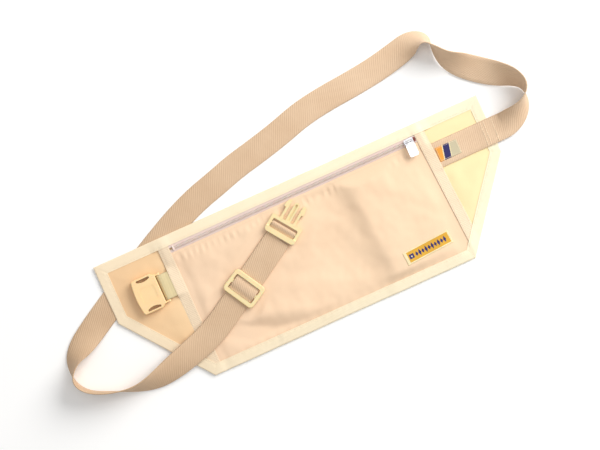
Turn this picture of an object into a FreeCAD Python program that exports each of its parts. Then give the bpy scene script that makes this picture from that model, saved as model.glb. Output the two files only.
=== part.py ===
"""Money belt: a flat zipped pocket, a webbing strap, a side-release buckle and a strap adjuster.

Millimetres.  +X runs along the pocket towards the end where the strap is sewn on, +Y towards the zip, +Z up.
The belt lies on its back: z = 0 is the surface it rests on, and the origin is under the pocket's centre.
"""
import FreeCAD, Part
import math
import os

V = FreeCAD.Vector

# ---- driving dimensions: webbing and cloth ----
WEB_W = 25.0            # webbing width
WEB_T = 1.2             # webbing thickness
CLOTH_T = 0.4           # panel cloth
TAPE_T = 0.4            # binding and seam tape, one layer
LAYER_GAP = 0.05        # between sewn layers of one body
FREE_GAP = 0.25         # between pieces that move past each other

# ---- pocket outline ----
POUCH_L = 396.0         # tip to tip
POUCH_H = 140.0         # top edge to bottom edge
END_EDGE = 58.0         # length of each upright end
BOTTOM_L = 269.0        # length of the straight bottom edge
BINDING_W = 10.4        # visible width of the folded edge binding
SEAM_LEFT_X = -130.3    # centre of the left seam tape, which is upright
SEAM_RIGHT_X = 137.2    # centre of the right seam tape at the pocket's middle height
SEAM_RIGHT_TURN = 3.1   # its lean, degrees: nearer the middle at the top
SEAM_W = 10.5
SEAM_OVER = 4.25        # how far the front panel goes under each tape
STRAP_PASS = 0.3        # room left round the strap where it runs under the left end

# ---- the left end is propped up by the strap that runs under it ----
LIFT_FULL_X = -95.0
LIFT_ZERO_X = -55.0

# ---- zip ----
ZIP_DROP = 14.0         # top edge to the centre line of the zip
ZIP_Y = POUCH_H / 2 - ZIP_DROP
ZIP_GAP_W = 1.8         # between the tapes' inner edges
ZIP_TAPE_T = 0.35
ZIP_SHOWN = 3.6         # tape shown on the pocket side of the centre line
COIL_W = 1.75
COIL_H = 1.35
COIL_SLIT = 0.3
SLIDER_L = 9.0
SLIDER_W = 6.4
SLIDER_PLATE = 0.65
SLIDER_X = 121.5        # slider centre, zip closed
SLIDER_POST_W = 1.0
STOP_L = 1.6
BRIDGE_R = 0.55         # rod that carries the pull tab
BRIDGE_SPAN = 4.4
TAB_W = 8.8
TAB_L = 15.0
TAB_T = 0.9
TAB_EYE_WALL = 0.8

# ---- buckle socket, on the left end ----
SOCKET_Y = 26.0
SOCKET_BAR_X = -144.4
SOCKET_NECK_W = WEB_W + 4.2
SOCKET_W = SOCKET_NECK_W + 5.2
SOCKET_H = 7.6
SOCKET_WALL = 1.3
SOCKET_NOSE = 28.2      # bar centre to the middle of the mouth's edge
SOCKET_BULGE = 2.0
SOCKET_MOUTH_W = 20.4
WINDOW_NEAR = 8.6       # side windows, distances from the bar centre
WINDOW_FAR = 21.8
WINDOW_IN = 12.2
RAIL_T = 1.8
SLOT_L = 3.3            # bar centre to the back of the body
SOCKET_BAR_R = 1.3
CHEEK_R = 1.5           # rounded cheeks that hold the bar
SIDE_GAP = 0.4          # webbing's edge to plastic
FOLD_GAP = 0.15         # webbing to the bar it turns round
PANEL_L = 15.0          # shallow plain panel in the socket's face
PANEL_W = 14.0
PANEL_DEEP = 0.4

# ---- strap adjuster and buckle plug, at the free end ----
LINE_YAW = 31.5         # direction of the straight end of the strap, degrees from +X
GLIDE_XY = (-76.0, ZIP_Y - 62.3)
GLIDE_YAW = 29.5
GLIDE_L = 24.2
GLIDE_W = WEB_W + 9.0
GLIDE_BAR = 4.4
GLIDE_SIDE = 3.4
GLIDE_T = 2.6
GLIDE_CORNER = 4.0
GLIDE_MID_BAR = 3.6
GLIDE_MID_H = 1.5
PLUG_XY = (-14.2, ZIP_Y - 22.7)  # middle of the plug's front bar
PLUG_YAW = 35.5
PLUG_W = WEB_W + 7.0
PLUG_SIDE = 3.0
PLUG_FRAME_L = 17.3
PLUG_REAR_BAR = 4.8
PLUG_FRONT_BAR = 3.3
PLUG_H = 3.8            # prongs, guide and front of the frame
PLUG_REAR_TOP = 9.6     # top of the rear bar, over the strap
PLUG_WEB_BAR_R = 1.1
PRONG_L = 20.0
PRONG_W = 3.5
PRONG_OFF = 7.0         # prong centre line from the plug's axis
PRONG_BARB = 1.5        # how far each barb stands out
PRONG_KNUCKLE_R = 1.7
PRONG_PIN_GAP = 0.06
GUIDE_W = 5.2
GUIDE_RIB = 1.6
GUIDE_L = 19.6

# ---- strap and labels ----
ANCHOR_Y = 33.2
ANCHOR_CLIMB = 7.0      # length over which the sewn strap climbs on to the binding
LABEL_T = 0.4
LABEL_RISE = 27.5       # bottom edge to the middle of the front label
FRONT_LABEL = (97.0, LABEL_RISE - POUCH_H / 2, 48.0, 13.0, 3.5)    # x, y, length, width, turn in degrees
STRAP_LABEL = (152.4, 33.0, 22.0, 14.0, 0.0)

# ---- heights that follow from the stack of layers ----
LIFT = WEB_T + STRAP_PASS
BACK_Z = TAPE_T + LAYER_GAP                     # back panel, above the lift
BACK_TOP = BACK_Z + CLOTH_T
SLIDER_Z = LIFT + BACK_TOP + FREE_GAP           # underside of the slider
ZIP_TAPE_Z = SLIDER_Z + SLIDER_PLATE + 0.2
ZIP_TAPE_TOP = ZIP_TAPE_Z + ZIP_TAPE_T
LIP_Z = ZIP_TAPE_TOP + LAYER_GAP                # underside of the binding's upper lip
EDGE_T = LIP_Z + TAPE_T                         # full height of the bound edge
FRONT_TOP = LIP_Z + CLOTH_T
COIL_Z = ZIP_TAPE_TOP + LAYER_GAP
SLIDER_TOP_Z = COIL_Z + COIL_H + 0.2            # underside of the slider's upper plate
EYE_R = BRIDGE_R + 0.08
RETURN_Z = FRONT_TOP + 0.15                     # doubled-back strap layer
PLUG_Z = RETURN_Z
BRIDGE_Z = PLUG_Z + PLUG_H + FREE_GAP + TAB_T / 2   # the tab passes over a plug left in front of the zip
MAIN_Z = RETURN_Z + WEB_T + 0.1                 # strap layer over it
GLIDE_Z = MAIN_Z + WEB_T + FREE_GAP
WING_Z = BACK_TOP + LAYER_GAP
SOCKET_BAR_Z = LIFT + WING_Z + 0.1 + WEB_T + FOLD_GAP + SOCKET_BAR_R
SOCKET_Z = LIFT + WING_Z + FREE_GAP

# The free strap's centre line, chosen by hand: x, y, z and the webbing's roll about its own line in degrees.
# It leaves the sewn end, stands on edge round the right bend, turns over twice, lies flat under the pocket's
# left end, stands on edge round the left bend and comes back over the front.
ROUTE = [
    (198.1, 33.2, 4.9, 0), (211.0, 33.2, 4.7, 8), (226.0, 38.0, 8.8, 36), (237.5, 47.5, 12.9, 72),
    (242.0, 60.0, 13.3, 100), (235.0, 72.0, 11.5, 126), (222.0, 81.0, 7.2, 154), (208.0, 91.5, 4.8, 164),
    (194.0, 103.0, 7.6, 150), (183.5, 114.5, 12.2, 118), (178.5, 126.0, 13.3, 96), (174.8, 137.2, 12.8, 66),
    (161.5, 140.2, 7.2, 24), (144.0, 135.4, 2.0, 4), (120.0, 130.6, 0.8, 0), (94.0, 127.6, 0.7, 0),
    (67.0, 125.4, 0.7, 0), (40.0, 121.4, 0.7, 0), (13.0, 113.2, 0.7, 0), (-13.0, 107.0, 0.7, 0),
    (-37.0, 102.0, 0.7, 0), (-59.0, 95.2, 0.7, 0), (-81.0, 89.2, 0.7, 0), (-103.0, 80.8, 0.7, 0),
    (-127.0, 69.4, 0.7, 0), (-152.0, 56.4, 0.7, 0), (-178.0, 42.2, 0.7, 0), (-207.5, 25.5, 0.7, 0),
    (-225.0, 15.0, 2.7, 7), (-240.5, 5.5, 7.3, 28), (-252.5, -5.0, 12.6, 64), (-258.0, -21.0, 13.2, 90),
    (-249.0, -35.0, 13.2, 90), (-229.0, -44.0, 13.2, 90), (-207.0, -50.5, 13.0, 76), (-187.0, -51.0, 11.0, 48),
    (-168.0, -47.0, 9.4, 26), (-148.0, -41.4, 8.2, 10), (-126.0, -34.4, 6.5, 2), (-104.0, -23.5, 6.35, 0),
]
ARC_SHARE = 0.45        # share of the shorter run that an arc takes


# ---------------------------------------------------------------- helpers
def prism(points, z0, z1):
    """Upright solid on a polygon of (x, y) points."""
    face = Part.Face(Part.makePolygon([V(x, y, z0) for x, y in points] + [V(*points[0], z0)]))
    return face.extrude(V(0, 0, z1 - z0))


def side_prism(points, y0, y1):
    """Solid with a polygon section of (x, z) points, drawn along Y."""
    ring = [V(x, y0, z) for x, z in points]
    return Part.Face(Part.makePolygon(ring + [ring[0]])).extrude(V(0, y1 - y0, 0))


def block(x0, x1, y0, y1, z0, z1):
    return Part.makeBox(x1 - x0, y1 - y0, z1 - z0, V(x0, y0, z0))


def place(shape, xy, yaw):
    """Turn a shape about the vertical and carry it to (x, y)."""
    shape.rotate(V(0, 0, 0), V(0, 0, 1), yaw)
    shape.translate(V(xy[0], xy[1], 0))
    return shape


def inset(outline, d):
    """The outline, counter-clockwise and convex, moved in by d."""
    lines = []
    for (x0, y0), (x1, y1) in zip(outline, outline[1:] + outline[:1]):
        long = math.hypot(x1 - x0, y1 - y0)
        ux, uy = (x1 - x0) / long, (y1 - y0) / long
        lines.append((x0 - uy * d, y0 + ux * d, ux, uy))
    found = []
    for (ax, ay, au, av), (bx, by, bu, bv) in zip([lines[-1]] + lines[:-1], lines):
        t = ((bx - ax) * bv - (by - ay) * bu) / (au * bv - av * bu)
        found.append((ax + au * t, ay + av * t))
    return found


def upright_edges(shape, keep=lambda x, y: True):
    """Straight vertical edges whose place passes keep."""
    found = []
    for edge in shape.Edges:
        a, b = edge.Vertexes[0].Point, edge.Vertexes[-1].Point
        if abs(a.x - b.x) + abs(a.y - b.y) < 1e-6 and abs(a.z - b.z) > 1e-6 and keep(a.x, a.y):
            found.append(edge)
    return found


def level_edges(shape, heights):
    """Edges that lie at one of the given heights."""
    return [e for e in shape.Edges
            if any(all(abs(p.Point.z - z) < 1e-6 for p in e.Vertexes) for z in heights)]


def pouch_outline():
    x, y, low, half = POUCH_L / 2, POUCH_H / 2, POUCH_H / 2 - END_EDGE, BOTTOM_L / 2
    return [(-x, y), (-x, low), (-half, -y), (half, -y), (x, low), (x, y)]


def layer(low, high):
    """Slab between two heights.  A number is level; ("lift", h) follows the propped-up left end at h."""
    def line(level):
        if isinstance(level, tuple):
            h = level[1]
            return [(-POUCH_L, LIFT + h), (LIFT_FULL_X, LIFT + h), (LIFT_ZERO_X, h), (POUCH_L, h)]
        return [(-POUCH_L, level), (POUCH_L, level)]
    return side_prism(line(low) + line(high)[::-1], -POUCH_H, POUCH_H)


# ---------------------------------------------------------------- pocket
def edge_binding():
    outline = pouch_outline()
    ring = prism(outline, 0, EDGE_T).cut(prism(inset(outline, BINDING_W), -1, EDGE_T + 1))
    core = prism(inset(outline, TAPE_T), -1, EDGE_T + 1)
    core = core.common(layer(("lift", TAPE_T), EDGE_T - TAPE_T))
    return ring.common(layer(("lift", 0), EDGE_T)).cut(core)


def back_panel():
    sheet = prism(inset(pouch_outline(), TAPE_T + LAYER_GAP), -1, EDGE_T)
    return sheet.common(layer(("lift", BACK_Z), ("lift", BACK_TOP)))


def front_panel():
    """The pocket's front: tucked under the binding along the bottom, folded over the zip tape at the top."""
    y_low = -POUCH_H / 2 + TAPE_T + LAYER_GAP
    y_lip = -POUCH_H / 2 + BINDING_W
    y_top = ZIP_Y - ZIP_SHOWN
    tucked = LIP_Z - LAYER_GAP - CLOTH_T
    line = [(y_low, tucked), (y_lip + 3, tucked), (y_lip + 8, LIP_Z), (y_top, LIP_Z)]
    ring = [V(0, y, z) for y, z in line] + [V(0, y, z + CLOTH_T) for y, z in line[::-1]]
    left, reach = SEAM_LEFT_X - SEAM_W / 2 + SEAM_OVER, POUCH_H / 2
    panel = Part.Face(Part.makePolygon(ring + [ring[0]])).extrude(V(POUCH_L, 0, 0))
    panel.translate(V(left, 0, 0))
    panel = panel.common(prism([(left, -reach), (right_seam(-reach) + SEAM_W / 2 - SEAM_OVER, -reach),
                                (right_seam(reach) + SEAM_W / 2 - SEAM_OVER, reach), (left, reach)], 0, 2 * EDGE_T))
    tuck = prism(inset(pouch_outline(), TAPE_T + LAYER_GAP), 0, 2 * EDGE_T)
    tuck = tuck.common(block(-POUCH_L, POUCH_L, -POUCH_H, y_lip + 2, 0, 2 * EDGE_T))
    return panel.common(prism(inset(pouch_outline(), BINDING_W + LAYER_GAP), 0, 2 * EDGE_T).fuse(tuck)).removeSplitter()


def right_seam(y):
    """Centre of the right seam tape at y."""
    return SEAM_RIGHT_X - y * math.tan(math.radians(SEAM_RIGHT_TURN))


def seam_tape(side):
    """Folded tape along one end of the pocket: a lip over the front panel and a wall down to the back panel."""
    base = (LIFT if side < 0 else 0) + WING_Z
    lip_z = FRONT_TOP + LAYER_GAP
    outer = SEAM_W / 2
    section = [(outer, base), (outer, lip_z + TAPE_T), (outer - SEAM_W, lip_z + TAPE_T),
               (outer - SEAM_W, lip_z), (outer - TAPE_T, lip_z), (outer - TAPE_T, base)]
    tape = side_prism([(side * x, z) for x, z in section], -POUCH_H / 2, POUCH_H / 2)
    tape = place(tape, (SEAM_RIGHT_X, 0), SEAM_RIGHT_TURN) if side > 0 else place(tape, (SEAM_LEFT_X, 0), 0)
    return tape.common(prism(inset(pouch_outline(), BINDING_W + LAYER_GAP), 0, 2 * EDGE_T))


# ---------------------------------------------------------------- zip
def zip_tape(side):
    inner = ZIP_Y + side * ZIP_GAP_W / 2
    reach = POUCH_H / 2 - TAPE_T - LAYER_GAP if side > 0 else ZIP_Y - 9.0
    y0, y1 = sorted((inner, reach))
    x0 = SEAM_LEFT_X - SEAM_W / 2 + SEAM_OVER
    x1 = right_seam(POUCH_H / 2) + SEAM_W / 2 - SEAM_OVER
    return block(x0, x1, y0, y1, ZIP_TAPE_Z, ZIP_TAPE_TOP)


def slider_front_x():
    return SLIDER_X + SLIDER_L / 2


def bottom_stop_x():
    return SEAM_LEFT_X + SEAM_W / 2 + 3.0


def zip_coil(side):
    inner = ZIP_Y + side * COIL_SLIT / 2
    y0, y1 = sorted((inner, inner + side * COIL_W))
    x0 = bottom_stop_x() + STOP_L + LAYER_GAP
    x1 = slider_front_x() - SLIDER_L / 4 - FREE_GAP
    coil = block(x0, x1, y0, y1, COIL_Z, COIL_Z + COIL_H)
    crest = [e for e in level_edges(coil, [COIL_Z + COIL_H]) if abs(e.Length - (x1 - x0)) < 1e-6]
    return coil.makeFillet(0.5, crest)


def zip_top_stops():
    """One pressed metal stop at the end of each coil."""
    x0 = slider_front_x() + 0.6
    stops = []
    for side in (-1, 1):
        y0, y1 = sorted((ZIP_Y + side * 0.2, ZIP_Y + side * 2.0))
        stops.append(block(x0, x0 + STOP_L, y0, y1, COIL_Z, COIL_Z + COIL_H - 0.2))
    return Part.makeCompound(stops)


def zip_bottom_stop():
    x0 = bottom_stop_x()
    stop = block(x0, x0 + STOP_L, ZIP_Y - 2.2, ZIP_Y + 2.2, COIL_Z, COIL_Z + COIL_H)
    return stop.makeFillet(0.4, level_edges(stop, [COIL_Z + COIL_H]))


def slider_plate(z0):
    """Rounded plate, a little narrower towards the closed end."""
    half, tail = SLIDER_W / 2, SLIDER_W / 2 - 0.7
    x0, x1 = SLIDER_X - SLIDER_L / 2, slider_front_x()
    plate = prism([(x0, ZIP_Y - tail), (x1, ZIP_Y - half), (x1, ZIP_Y + half), (x0, ZIP_Y + tail)],
                  z0, z0 + SLIDER_PLATE)
    return plate.makeFillet(1.2, upright_edges(plate))


def zip_slider():
    """Two plates joined by a front post, side flanges, and a rod on two feet that carries the pull tab."""
    body = slider_plate(SLIDER_Z).fuse(slider_plate(SLIDER_TOP_Z))
    x1 = slider_front_x()
    post = block(x1 - SLIDER_L / 4, x1 - 0.3, ZIP_Y - SLIDER_POST_W / 2, ZIP_Y + SLIDER_POST_W / 2,
                 SLIDER_Z, SLIDER_TOP_Z + SLIDER_PLATE)
    body = body.fuse(post)
    for side in (-1, 1):
        y0, y1 = sorted((ZIP_Y + side * (SLIDER_W / 2 - 1.2), ZIP_Y + side * (SLIDER_W / 2 - 0.7)))
        body = body.fuse(block(SLIDER_X - 3.0, SLIDER_X + 3.0, y0, y1, ZIP_TAPE_TOP + 0.3,
                               SLIDER_TOP_Z + SLIDER_PLATE))
    rod = Part.makeCylinder(BRIDGE_R, BRIDGE_SPAN + 1, V(SLIDER_X - BRIDGE_SPAN / 2 - 0.5, ZIP_Y, BRIDGE_Z),
                            V(1, 0, 0))
    body = body.fuse(rod)
    for side in (-1, 1):
        x0, x1 = sorted((SLIDER_X + side * BRIDGE_SPAN / 2, SLIDER_X + side * (BRIDGE_SPAN / 2 + 1.1)))
        foot = block(x0, x1, ZIP_Y - 1.0, ZIP_Y + 1.0, SLIDER_TOP_Z, BRIDGE_Z + BRIDGE_R + 0.2)
        top = [e for e in level_edges(foot, [BRIDGE_Z + BRIDGE_R + 0.2]) if abs(e.Length - (x1 - x0)) < 1e-6]
        body = body.fuse(foot.makeFillet(0.7, top))
    return body.removeSplitter()


def zip_pull_tab():
    """Stamped tab on an eye that turns about the slider's rod; it lies over the pocket's front at rest."""
    eye_out = EYE_R + TAB_EYE_WALL
    eye_l = BRIDGE_SPAN - 0.8
    neck_end = -eye_out - 2.4
    plate = block(-TAB_W / 2, TAB_W / 2, neck_end - TAB_L + 4.0, neck_end + 1.2, -TAB_T / 2, TAB_T / 2)
    plate = plate.makeFillet(1.6, upright_edges(plate))
    neck = block(-eye_l / 2, eye_l / 2, neck_end, 0, -TAB_T / 2, TAB_T / 2)
    tab = plate.fuse(neck).fuse(Part.makeCylinder(eye_out, eye_l, V(-eye_l / 2, 0, 0), V(1, 0, 0)))
    tab = tab.cut(Part.makeCylinder(EYE_R, TAB_W, V(-TAB_W / 2, 0, 0), V(1, 0, 0)))
    hollow = block(-TAB_W / 4, TAB_W / 4, neck_end - TAB_L + 7.0, neck_end - 2.6, TAB_T / 2 - 0.25, TAB_T)
    tab = tab.cut(hollow.makeFillet(0.9, upright_edges(hollow))).removeSplitter()
    tab.translate(V(SLIDER_X, ZIP_Y, BRIDGE_Z))
    return tab


# ---------------------------------------------------------------- buckle socket
def socket_shell_outline():
    """Plan of the socket, from its web bar (x = 0) to the bowed mouth edge (x = nose)."""
    half, neck, side_x = SOCKET_W / 2, SOCKET_NECK_W / 2, SOCKET_NOSE - SOCKET_BULGE
    arc = Part.Arc(V(side_x, -half, 0), V(SOCKET_NOSE, 0, 0), V(side_x, half, 0)).toShape()
    path = [V(side_x, half, 0), V(WINDOW_NEAR - 0.6, half, 0), V(SLOT_L + 1.2, neck, 0), V(SLOT_L, neck, 0),
            V(SLOT_L, -neck, 0), V(SLOT_L + 1.2, -neck, 0), V(WINDOW_NEAR - 0.6, -half, 0),
            V(side_x, -half, 0)]
    return Part.Wire([arc] + [Part.makeLine(a, b) for a, b in zip(path, path[1:])])


def socket_cavity():
    """Room for the plug: a narrow mouth whose shoulders the prongs catch behind, and a wide chamber."""
    z0, z1 = SOCKET_WALL, SOCKET_H - SOCKET_WALL
    mouth = block(WINDOW_FAR, SOCKET_NOSE + 1, -SOCKET_MOUTH_W / 2, SOCKET_MOUTH_W / 2, z0, z1)
    wide = SOCKET_W / 2 - RAIL_T
    chamber = block(SLOT_L + SOCKET_WALL, WINDOW_FAR, -WINDOW_IN, WINDOW_IN, z0, z1)
    sides = block(WINDOW_NEAR, WINDOW_FAR, -wide, wide, z0, z1)
    return mouth.fuse(chamber).fuse(sides)


def side_window(side):
    """Opening through top and bottom beside the face, with a curved inner edge."""
    wide = SOCKET_W / 2 - RAIL_T
    a, b = V(WINDOW_NEAR, side * wide, -1), V(WINDOW_FAR, side * wide, -1)
    c, d = V(WINDOW_FAR, side * (WINDOW_IN + 1.6), -1), V(WINDOW_NEAR, side * (WINDOW_IN + 1.6), -1)
    bow = Part.Arc(c, V((WINDOW_NEAR + WINDOW_FAR) / 2, side * WINDOW_IN, -1), d).toShape()
    ring = Part.Wire([Part.makeLine(a, b), Part.makeLine(b, c), bow, Part.makeLine(d, a)])
    return Part.Face(ring).extrude(V(0, 0, SOCKET_H + 2))


def buckle_socket():
    """Moulded socket, built with its bar at the origin and its mouth towards +X, then turned to face -X."""
    body = Part.Face(socket_shell_outline()).extrude(V(0, 0, SOCKET_H))
    corner = SOCKET_NOSE - SOCKET_BULGE - 1
    body = body.makeFillet(2.2, upright_edges(body, lambda x, y: x > corner))
    shoulder = SLOT_L + 1.1
    body = body.makeFillet(2.0, upright_edges(body, lambda x, y: shoulder < x < WINDOW_NEAR))
    body = body.makeFillet(0.9, level_edges(body, [0, SOCKET_H]))
    body = body.cut(socket_cavity())
    for side in (-1, 1):
        body = body.cut(side_window(side))
    middle = (WINDOW_NEAR + WINDOW_FAR) / 2
    dish = block(middle - PANEL_L / 2, middle + PANEL_L / 2, -PANEL_W / 2, PANEL_W / 2,
                 SOCKET_H - PANEL_DEEP, SOCKET_H + 1)
    body = body.cut(dish.makeFillet(2.0, upright_edges(dish)))
    body.translate(V(0, 0, SOCKET_Z))
    bar_z = SOCKET_BAR_Z
    neck = SOCKET_NECK_W / 2
    body = body.fuse(Part.makeCylinder(SOCKET_BAR_R, SOCKET_NECK_W, V(0, -neck, bar_z), V(0, 1, 0)))
    for side in (-1, 1):
        y0, y1 = sorted((side * (WEB_W / 2 + SIDE_GAP), side * (neck - 0.3)))
        cheek = block(0, SLOT_L + 1.5, y0, y1, bar_z - CHEEK_R, bar_z + CHEEK_R)
        end = Part.makeCylinder(CHEEK_R, y1 - y0, V(0, y0, bar_z), V(0, 1, 0))
        body = body.fuse(cheek).fuse(end)
    return place(body.removeSplitter(), (SOCKET_BAR_X, SOCKET_Y), 180)


def web_fold(bar_r, reach_up, reach_low):
    """Section (x, z) of webbing turned round a bar at the origin: a half ring on the -X side and two tails."""
    r0, r1 = bar_r + FOLD_GAP, bar_r + FOLD_GAP + WEB_T
    half = Part.Wire([
        Part.Arc(V(0, 0, r1), V(-r1, 0, 0), V(0, 0, -r1)).toShape(), Part.makeLine(V(0, 0, -r1), V(0, 0, -r0)),
        Part.Arc(V(0, 0, -r0), V(-r0, 0, 0), V(0, 0, r0)).toShape(), Part.makeLine(V(0, 0, r0), V(0, 0, r1))])
    tails = [[V(0, 0, r0), V(0, 0, r1)] + reach_up, [V(0, 0, -r1), V(0, 0, -r0)] + reach_low]
    solid = Part.Face(half).extrude(V(0, WEB_W, 0))
    for ring in tails:
        solid = solid.fuse(Part.Face(Part.makePolygon(ring + [ring[0]])).extrude(V(0, WEB_W, 0)))
    solid.translate(V(0, -WEB_W / 2, 0))
    return solid.removeSplitter()


def socket_web_loop():
    """Short loop round the socket's bar; both its layers run to the left seam tape."""
    end = SEAM_LEFT_X - SEAM_W / 2 - LAYER_GAP - SOCKET_BAR_X
    low = SOCKET_BAR_R + FOLD_GAP
    top = FRONT_TOP + LAYER_GAP + TAPE_T - SOCKET_BAR_Z
    upper_end = max(top - WEB_T, -low + 0.05)
    loop = web_fold(SOCKET_BAR_R, [V(end, 0, upper_end + WEB_T), V(end, 0, upper_end)],
                    [V(end, 0, -low), V(end, 0, -low - WEB_T)])
    loop.translate(V(SOCKET_BAR_X, SOCKET_Y, SOCKET_BAR_Z))
    return loop


# ---------------------------------------------------------------- strap adjuster
def tri_glide():
    """Rounded frame with a middle bar."""
    half_l, half_w = GLIDE_L / 2, GLIDE_W / 2
    frame = block(-half_l, half_l, -half_w, half_w, GLIDE_Z, GLIDE_Z + GLIDE_T)
    frame = frame.makeFillet(GLIDE_CORNER, upright_edges(frame))
    frame = frame.makeFillet(0.9, level_edges(frame, [GLIDE_Z, GLIDE_Z + GLIDE_T]))
    hole = block(-half_l + GLIDE_BAR, half_l - GLIDE_BAR, -half_w + GLIDE_SIDE, half_w - GLIDE_SIDE,
                 GLIDE_Z - 1, GLIDE_Z + GLIDE_T + 1)
    frame = frame.cut(hole.makeFillet(1.2, upright_edges(hole)))
    bar = block(-GLIDE_MID_BAR / 2, GLIDE_MID_BAR / 2, -half_w + 1, half_w - 1, GLIDE_Z, GLIDE_Z + GLIDE_MID_H)
    return place(frame.fuse(bar).removeSplitter(), GLIDE_XY, GLIDE_YAW)


def glide_web_fold():
    """The strap's rise over the middle bar, as it shows in the adjuster's window."""
    edge = GLIDE_L / 2 - GLIDE_BAR - FOLD_GAP
    bar = GLIDE_MID_BAR / 2 + 0.4
    low, high = GLIDE_Z, GLIDE_Z + GLIDE_MID_H + FOLD_GAP
    line = [(-edge, low), (-bar, high), (bar, high), (edge, low)]
    fold = side_prism(line + [(x, z + WEB_T - 0.1) for x, z in line[::-1]], -WEB_W / 2, WEB_W / 2)
    return place(fold, GLIDE_XY, GLIDE_YAW)


# ---------------------------------------------------------------- buckle plug
PLUG_REAR = PLUG_FRONT_BAR / 2 - PLUG_FRAME_L       # rear face of the frame, along the plug's axis
PLUG_WEB_BAR_S = PLUG_REAR + PLUG_REAR_BAR + (PLUG_FRAME_L - PLUG_REAR_BAR - PLUG_FRONT_BAR) / 2
PLUG_WEB_BAR_Z = RETURN_Z + WEB_T + FOLD_GAP + PLUG_WEB_BAR_R
PRONG_S = PLUG_FRONT_BAR / 2 + 0.4                  # prong hinge, along the plug's axis
FOLD_END = PLUG_REAR - 0.4                          # where the webbing bends when the plug lifts


def plug_frame():
    """Frame with a raised rear bar over the strap, low sides and front, and the bar the webbing turns round."""
    half, rear_in, front = PLUG_W / 2, PLUG_REAR + PLUG_REAR_BAR, PLUG_FRONT_BAR / 2
    top = PLUG_Z + PLUG_H
    side = [(PLUG_REAR, PLUG_Z), (front, PLUG_Z), (front, top), (rear_in + 1.3, top),
            (rear_in, PLUG_REAR_TOP), (PLUG_REAR, PLUG_REAR_TOP)]
    frame = side_prism(side, -half, half)
    frame = frame.makeFillet(3.4, upright_edges(frame, lambda x, y: x < PLUG_REAR + 0.1))
    hole = block(rear_in, -front, -half + PLUG_SIDE, half - PLUG_SIDE, PLUG_Z - 1, PLUG_REAR_TOP + 1)
    frame = frame.cut(hole.makeFillet(1.2, upright_edges(hole)))
    under = block(PLUG_REAR - 1, rear_in + 1, -WEB_W / 2 - SIDE_GAP, WEB_W / 2 + SIDE_GAP,
                  PLUG_Z - 1, MAIN_Z + WEB_T + FREE_GAP)
    frame = frame.cut(under)
    return frame.fuse(Part.makeCylinder(PLUG_WEB_BAR_R, PLUG_W - 2, V(PLUG_WEB_BAR_S, 1 - half, PLUG_WEB_BAR_Z),
                                        V(0, 1, 0)))


def plug_guide():
    """Centre guide: two ribs and a thin floor, closed by a round nose."""
    s0 = PLUG_FRONT_BAR / 2 - 0.5
    s1 = PLUG_FRONT_BAR / 2 + GUIDE_L
    z0, z1 = PLUG_Z + 0.4, PLUG_Z + PLUG_H - 0.4
    guide = block(s0, s1, -GUIDE_W / 2, GUIDE_W / 2, z0, z1)
    guide = guide.makeFillet(GUIDE_W / 2 - 0.2, upright_edges(guide, lambda x, y: x > s0 + 1))
    groove = block(s0 + 1.5, s1 - GUIDE_RIB, -GUIDE_W / 2 + GUIDE_RIB, GUIDE_W / 2 - GUIDE_RIB,
                   z0 + 1.2, z1 + 1)
    return guide.cut(groove.makeFillet(0.7, upright_edges(groove)))


def buckle_plug():
    body = plug_frame().fuse(plug_guide())
    for side in (-1, 1):
        seat = Part.makeCylinder(PRONG_KNUCKLE_R + PRONG_PIN_GAP, PLUG_H + 2,
                                 V(PRONG_S, side * PRONG_OFF, PLUG_Z - 1))
        body = body.cut(seat)
    return place(body.removeSplitter(), PLUG_XY, PLUG_YAW)


def plug_prong(side):
    """Barbed prong on a round knuckle; it bends inwards about the knuckle."""
    z0, z1 = PLUG_Z + 0.3, PLUG_Z + PLUG_H - 0.3
    inner, outer = PRONG_OFF - PRONG_W / 2, PRONG_OFF + PRONG_W / 2
    tip = PRONG_S + PRONG_L - 0.9
    barb = PRONG_S + PRONG_L * 0.54
    plan = [(PRONG_S, inner + 0.6), (tip - 0.4, inner + 0.6), (tip, inner + 1.4), (tip, outer + 0.2),
            (barb + 3.4, outer + PRONG_BARB), (barb, outer + PRONG_BARB), (barb, outer - 0.4),
            (PRONG_S, outer - 0.6)]
    prong = prism([(s, side * y) for s, y in plan], z0, z1)
    prong = prong.fuse(Part.makeCylinder(PRONG_KNUCKLE_R, z1 - z0, V(PRONG_S, side * PRONG_OFF, z0)))
    return place(prong.removeSplitter(), PLUG_XY, PLUG_YAW)


def plug_web_fold():
    """The strap's end inside the plug: under the rear bar, round the web bar and back beneath."""
    rear = FOLD_END - PLUG_WEB_BAR_S
    lift = MAIN_Z - PLUG_WEB_BAR_Z
    low = PLUG_WEB_BAR_R + FOLD_GAP
    inner = -(PLUG_FRAME_L - PLUG_REAR_BAR - PLUG_FRONT_BAR) / 2
    fold = web_fold(PLUG_WEB_BAR_R, [V(-inner, 0, lift + WEB_T), V(-inner, 0, lift)],
                    [V(-rear, 0, -low), V(-rear, 0, -low - WEB_T)])
    ring = [V(-inner, 0, lift), V(-inner, 0, lift + WEB_T), V(-rear, 0, lift + WEB_T), V(-rear, 0, lift)]
    slab = Part.Face(Part.makePolygon(ring + [ring[0]])).extrude(V(0, WEB_W, 0))
    slab.translate(V(0, -WEB_W / 2, 0))
    fold = fold.fuse(slab).removeSplitter()
    fold.rotate(V(0, 0, 0), V(0, 0, 1), 180)
    fold.translate(V(PLUG_WEB_BAR_S, 0, PLUG_WEB_BAR_Z))
    return place(fold, PLUG_XY, PLUG_YAW)


# ---------------------------------------------------------------- strap
def strap_end():
    """Where the free strap meets the plug's fold, at the height of the upper layer."""
    yaw = math.radians(PLUG_YAW)
    reach = FOLD_END - 1.0
    x, y = PLUG_XY[0] + reach * math.cos(yaw), PLUG_XY[1] + reach * math.sin(yaw)
    return (x, y, MAIN_Z + WEB_T / 2, 0)


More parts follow.
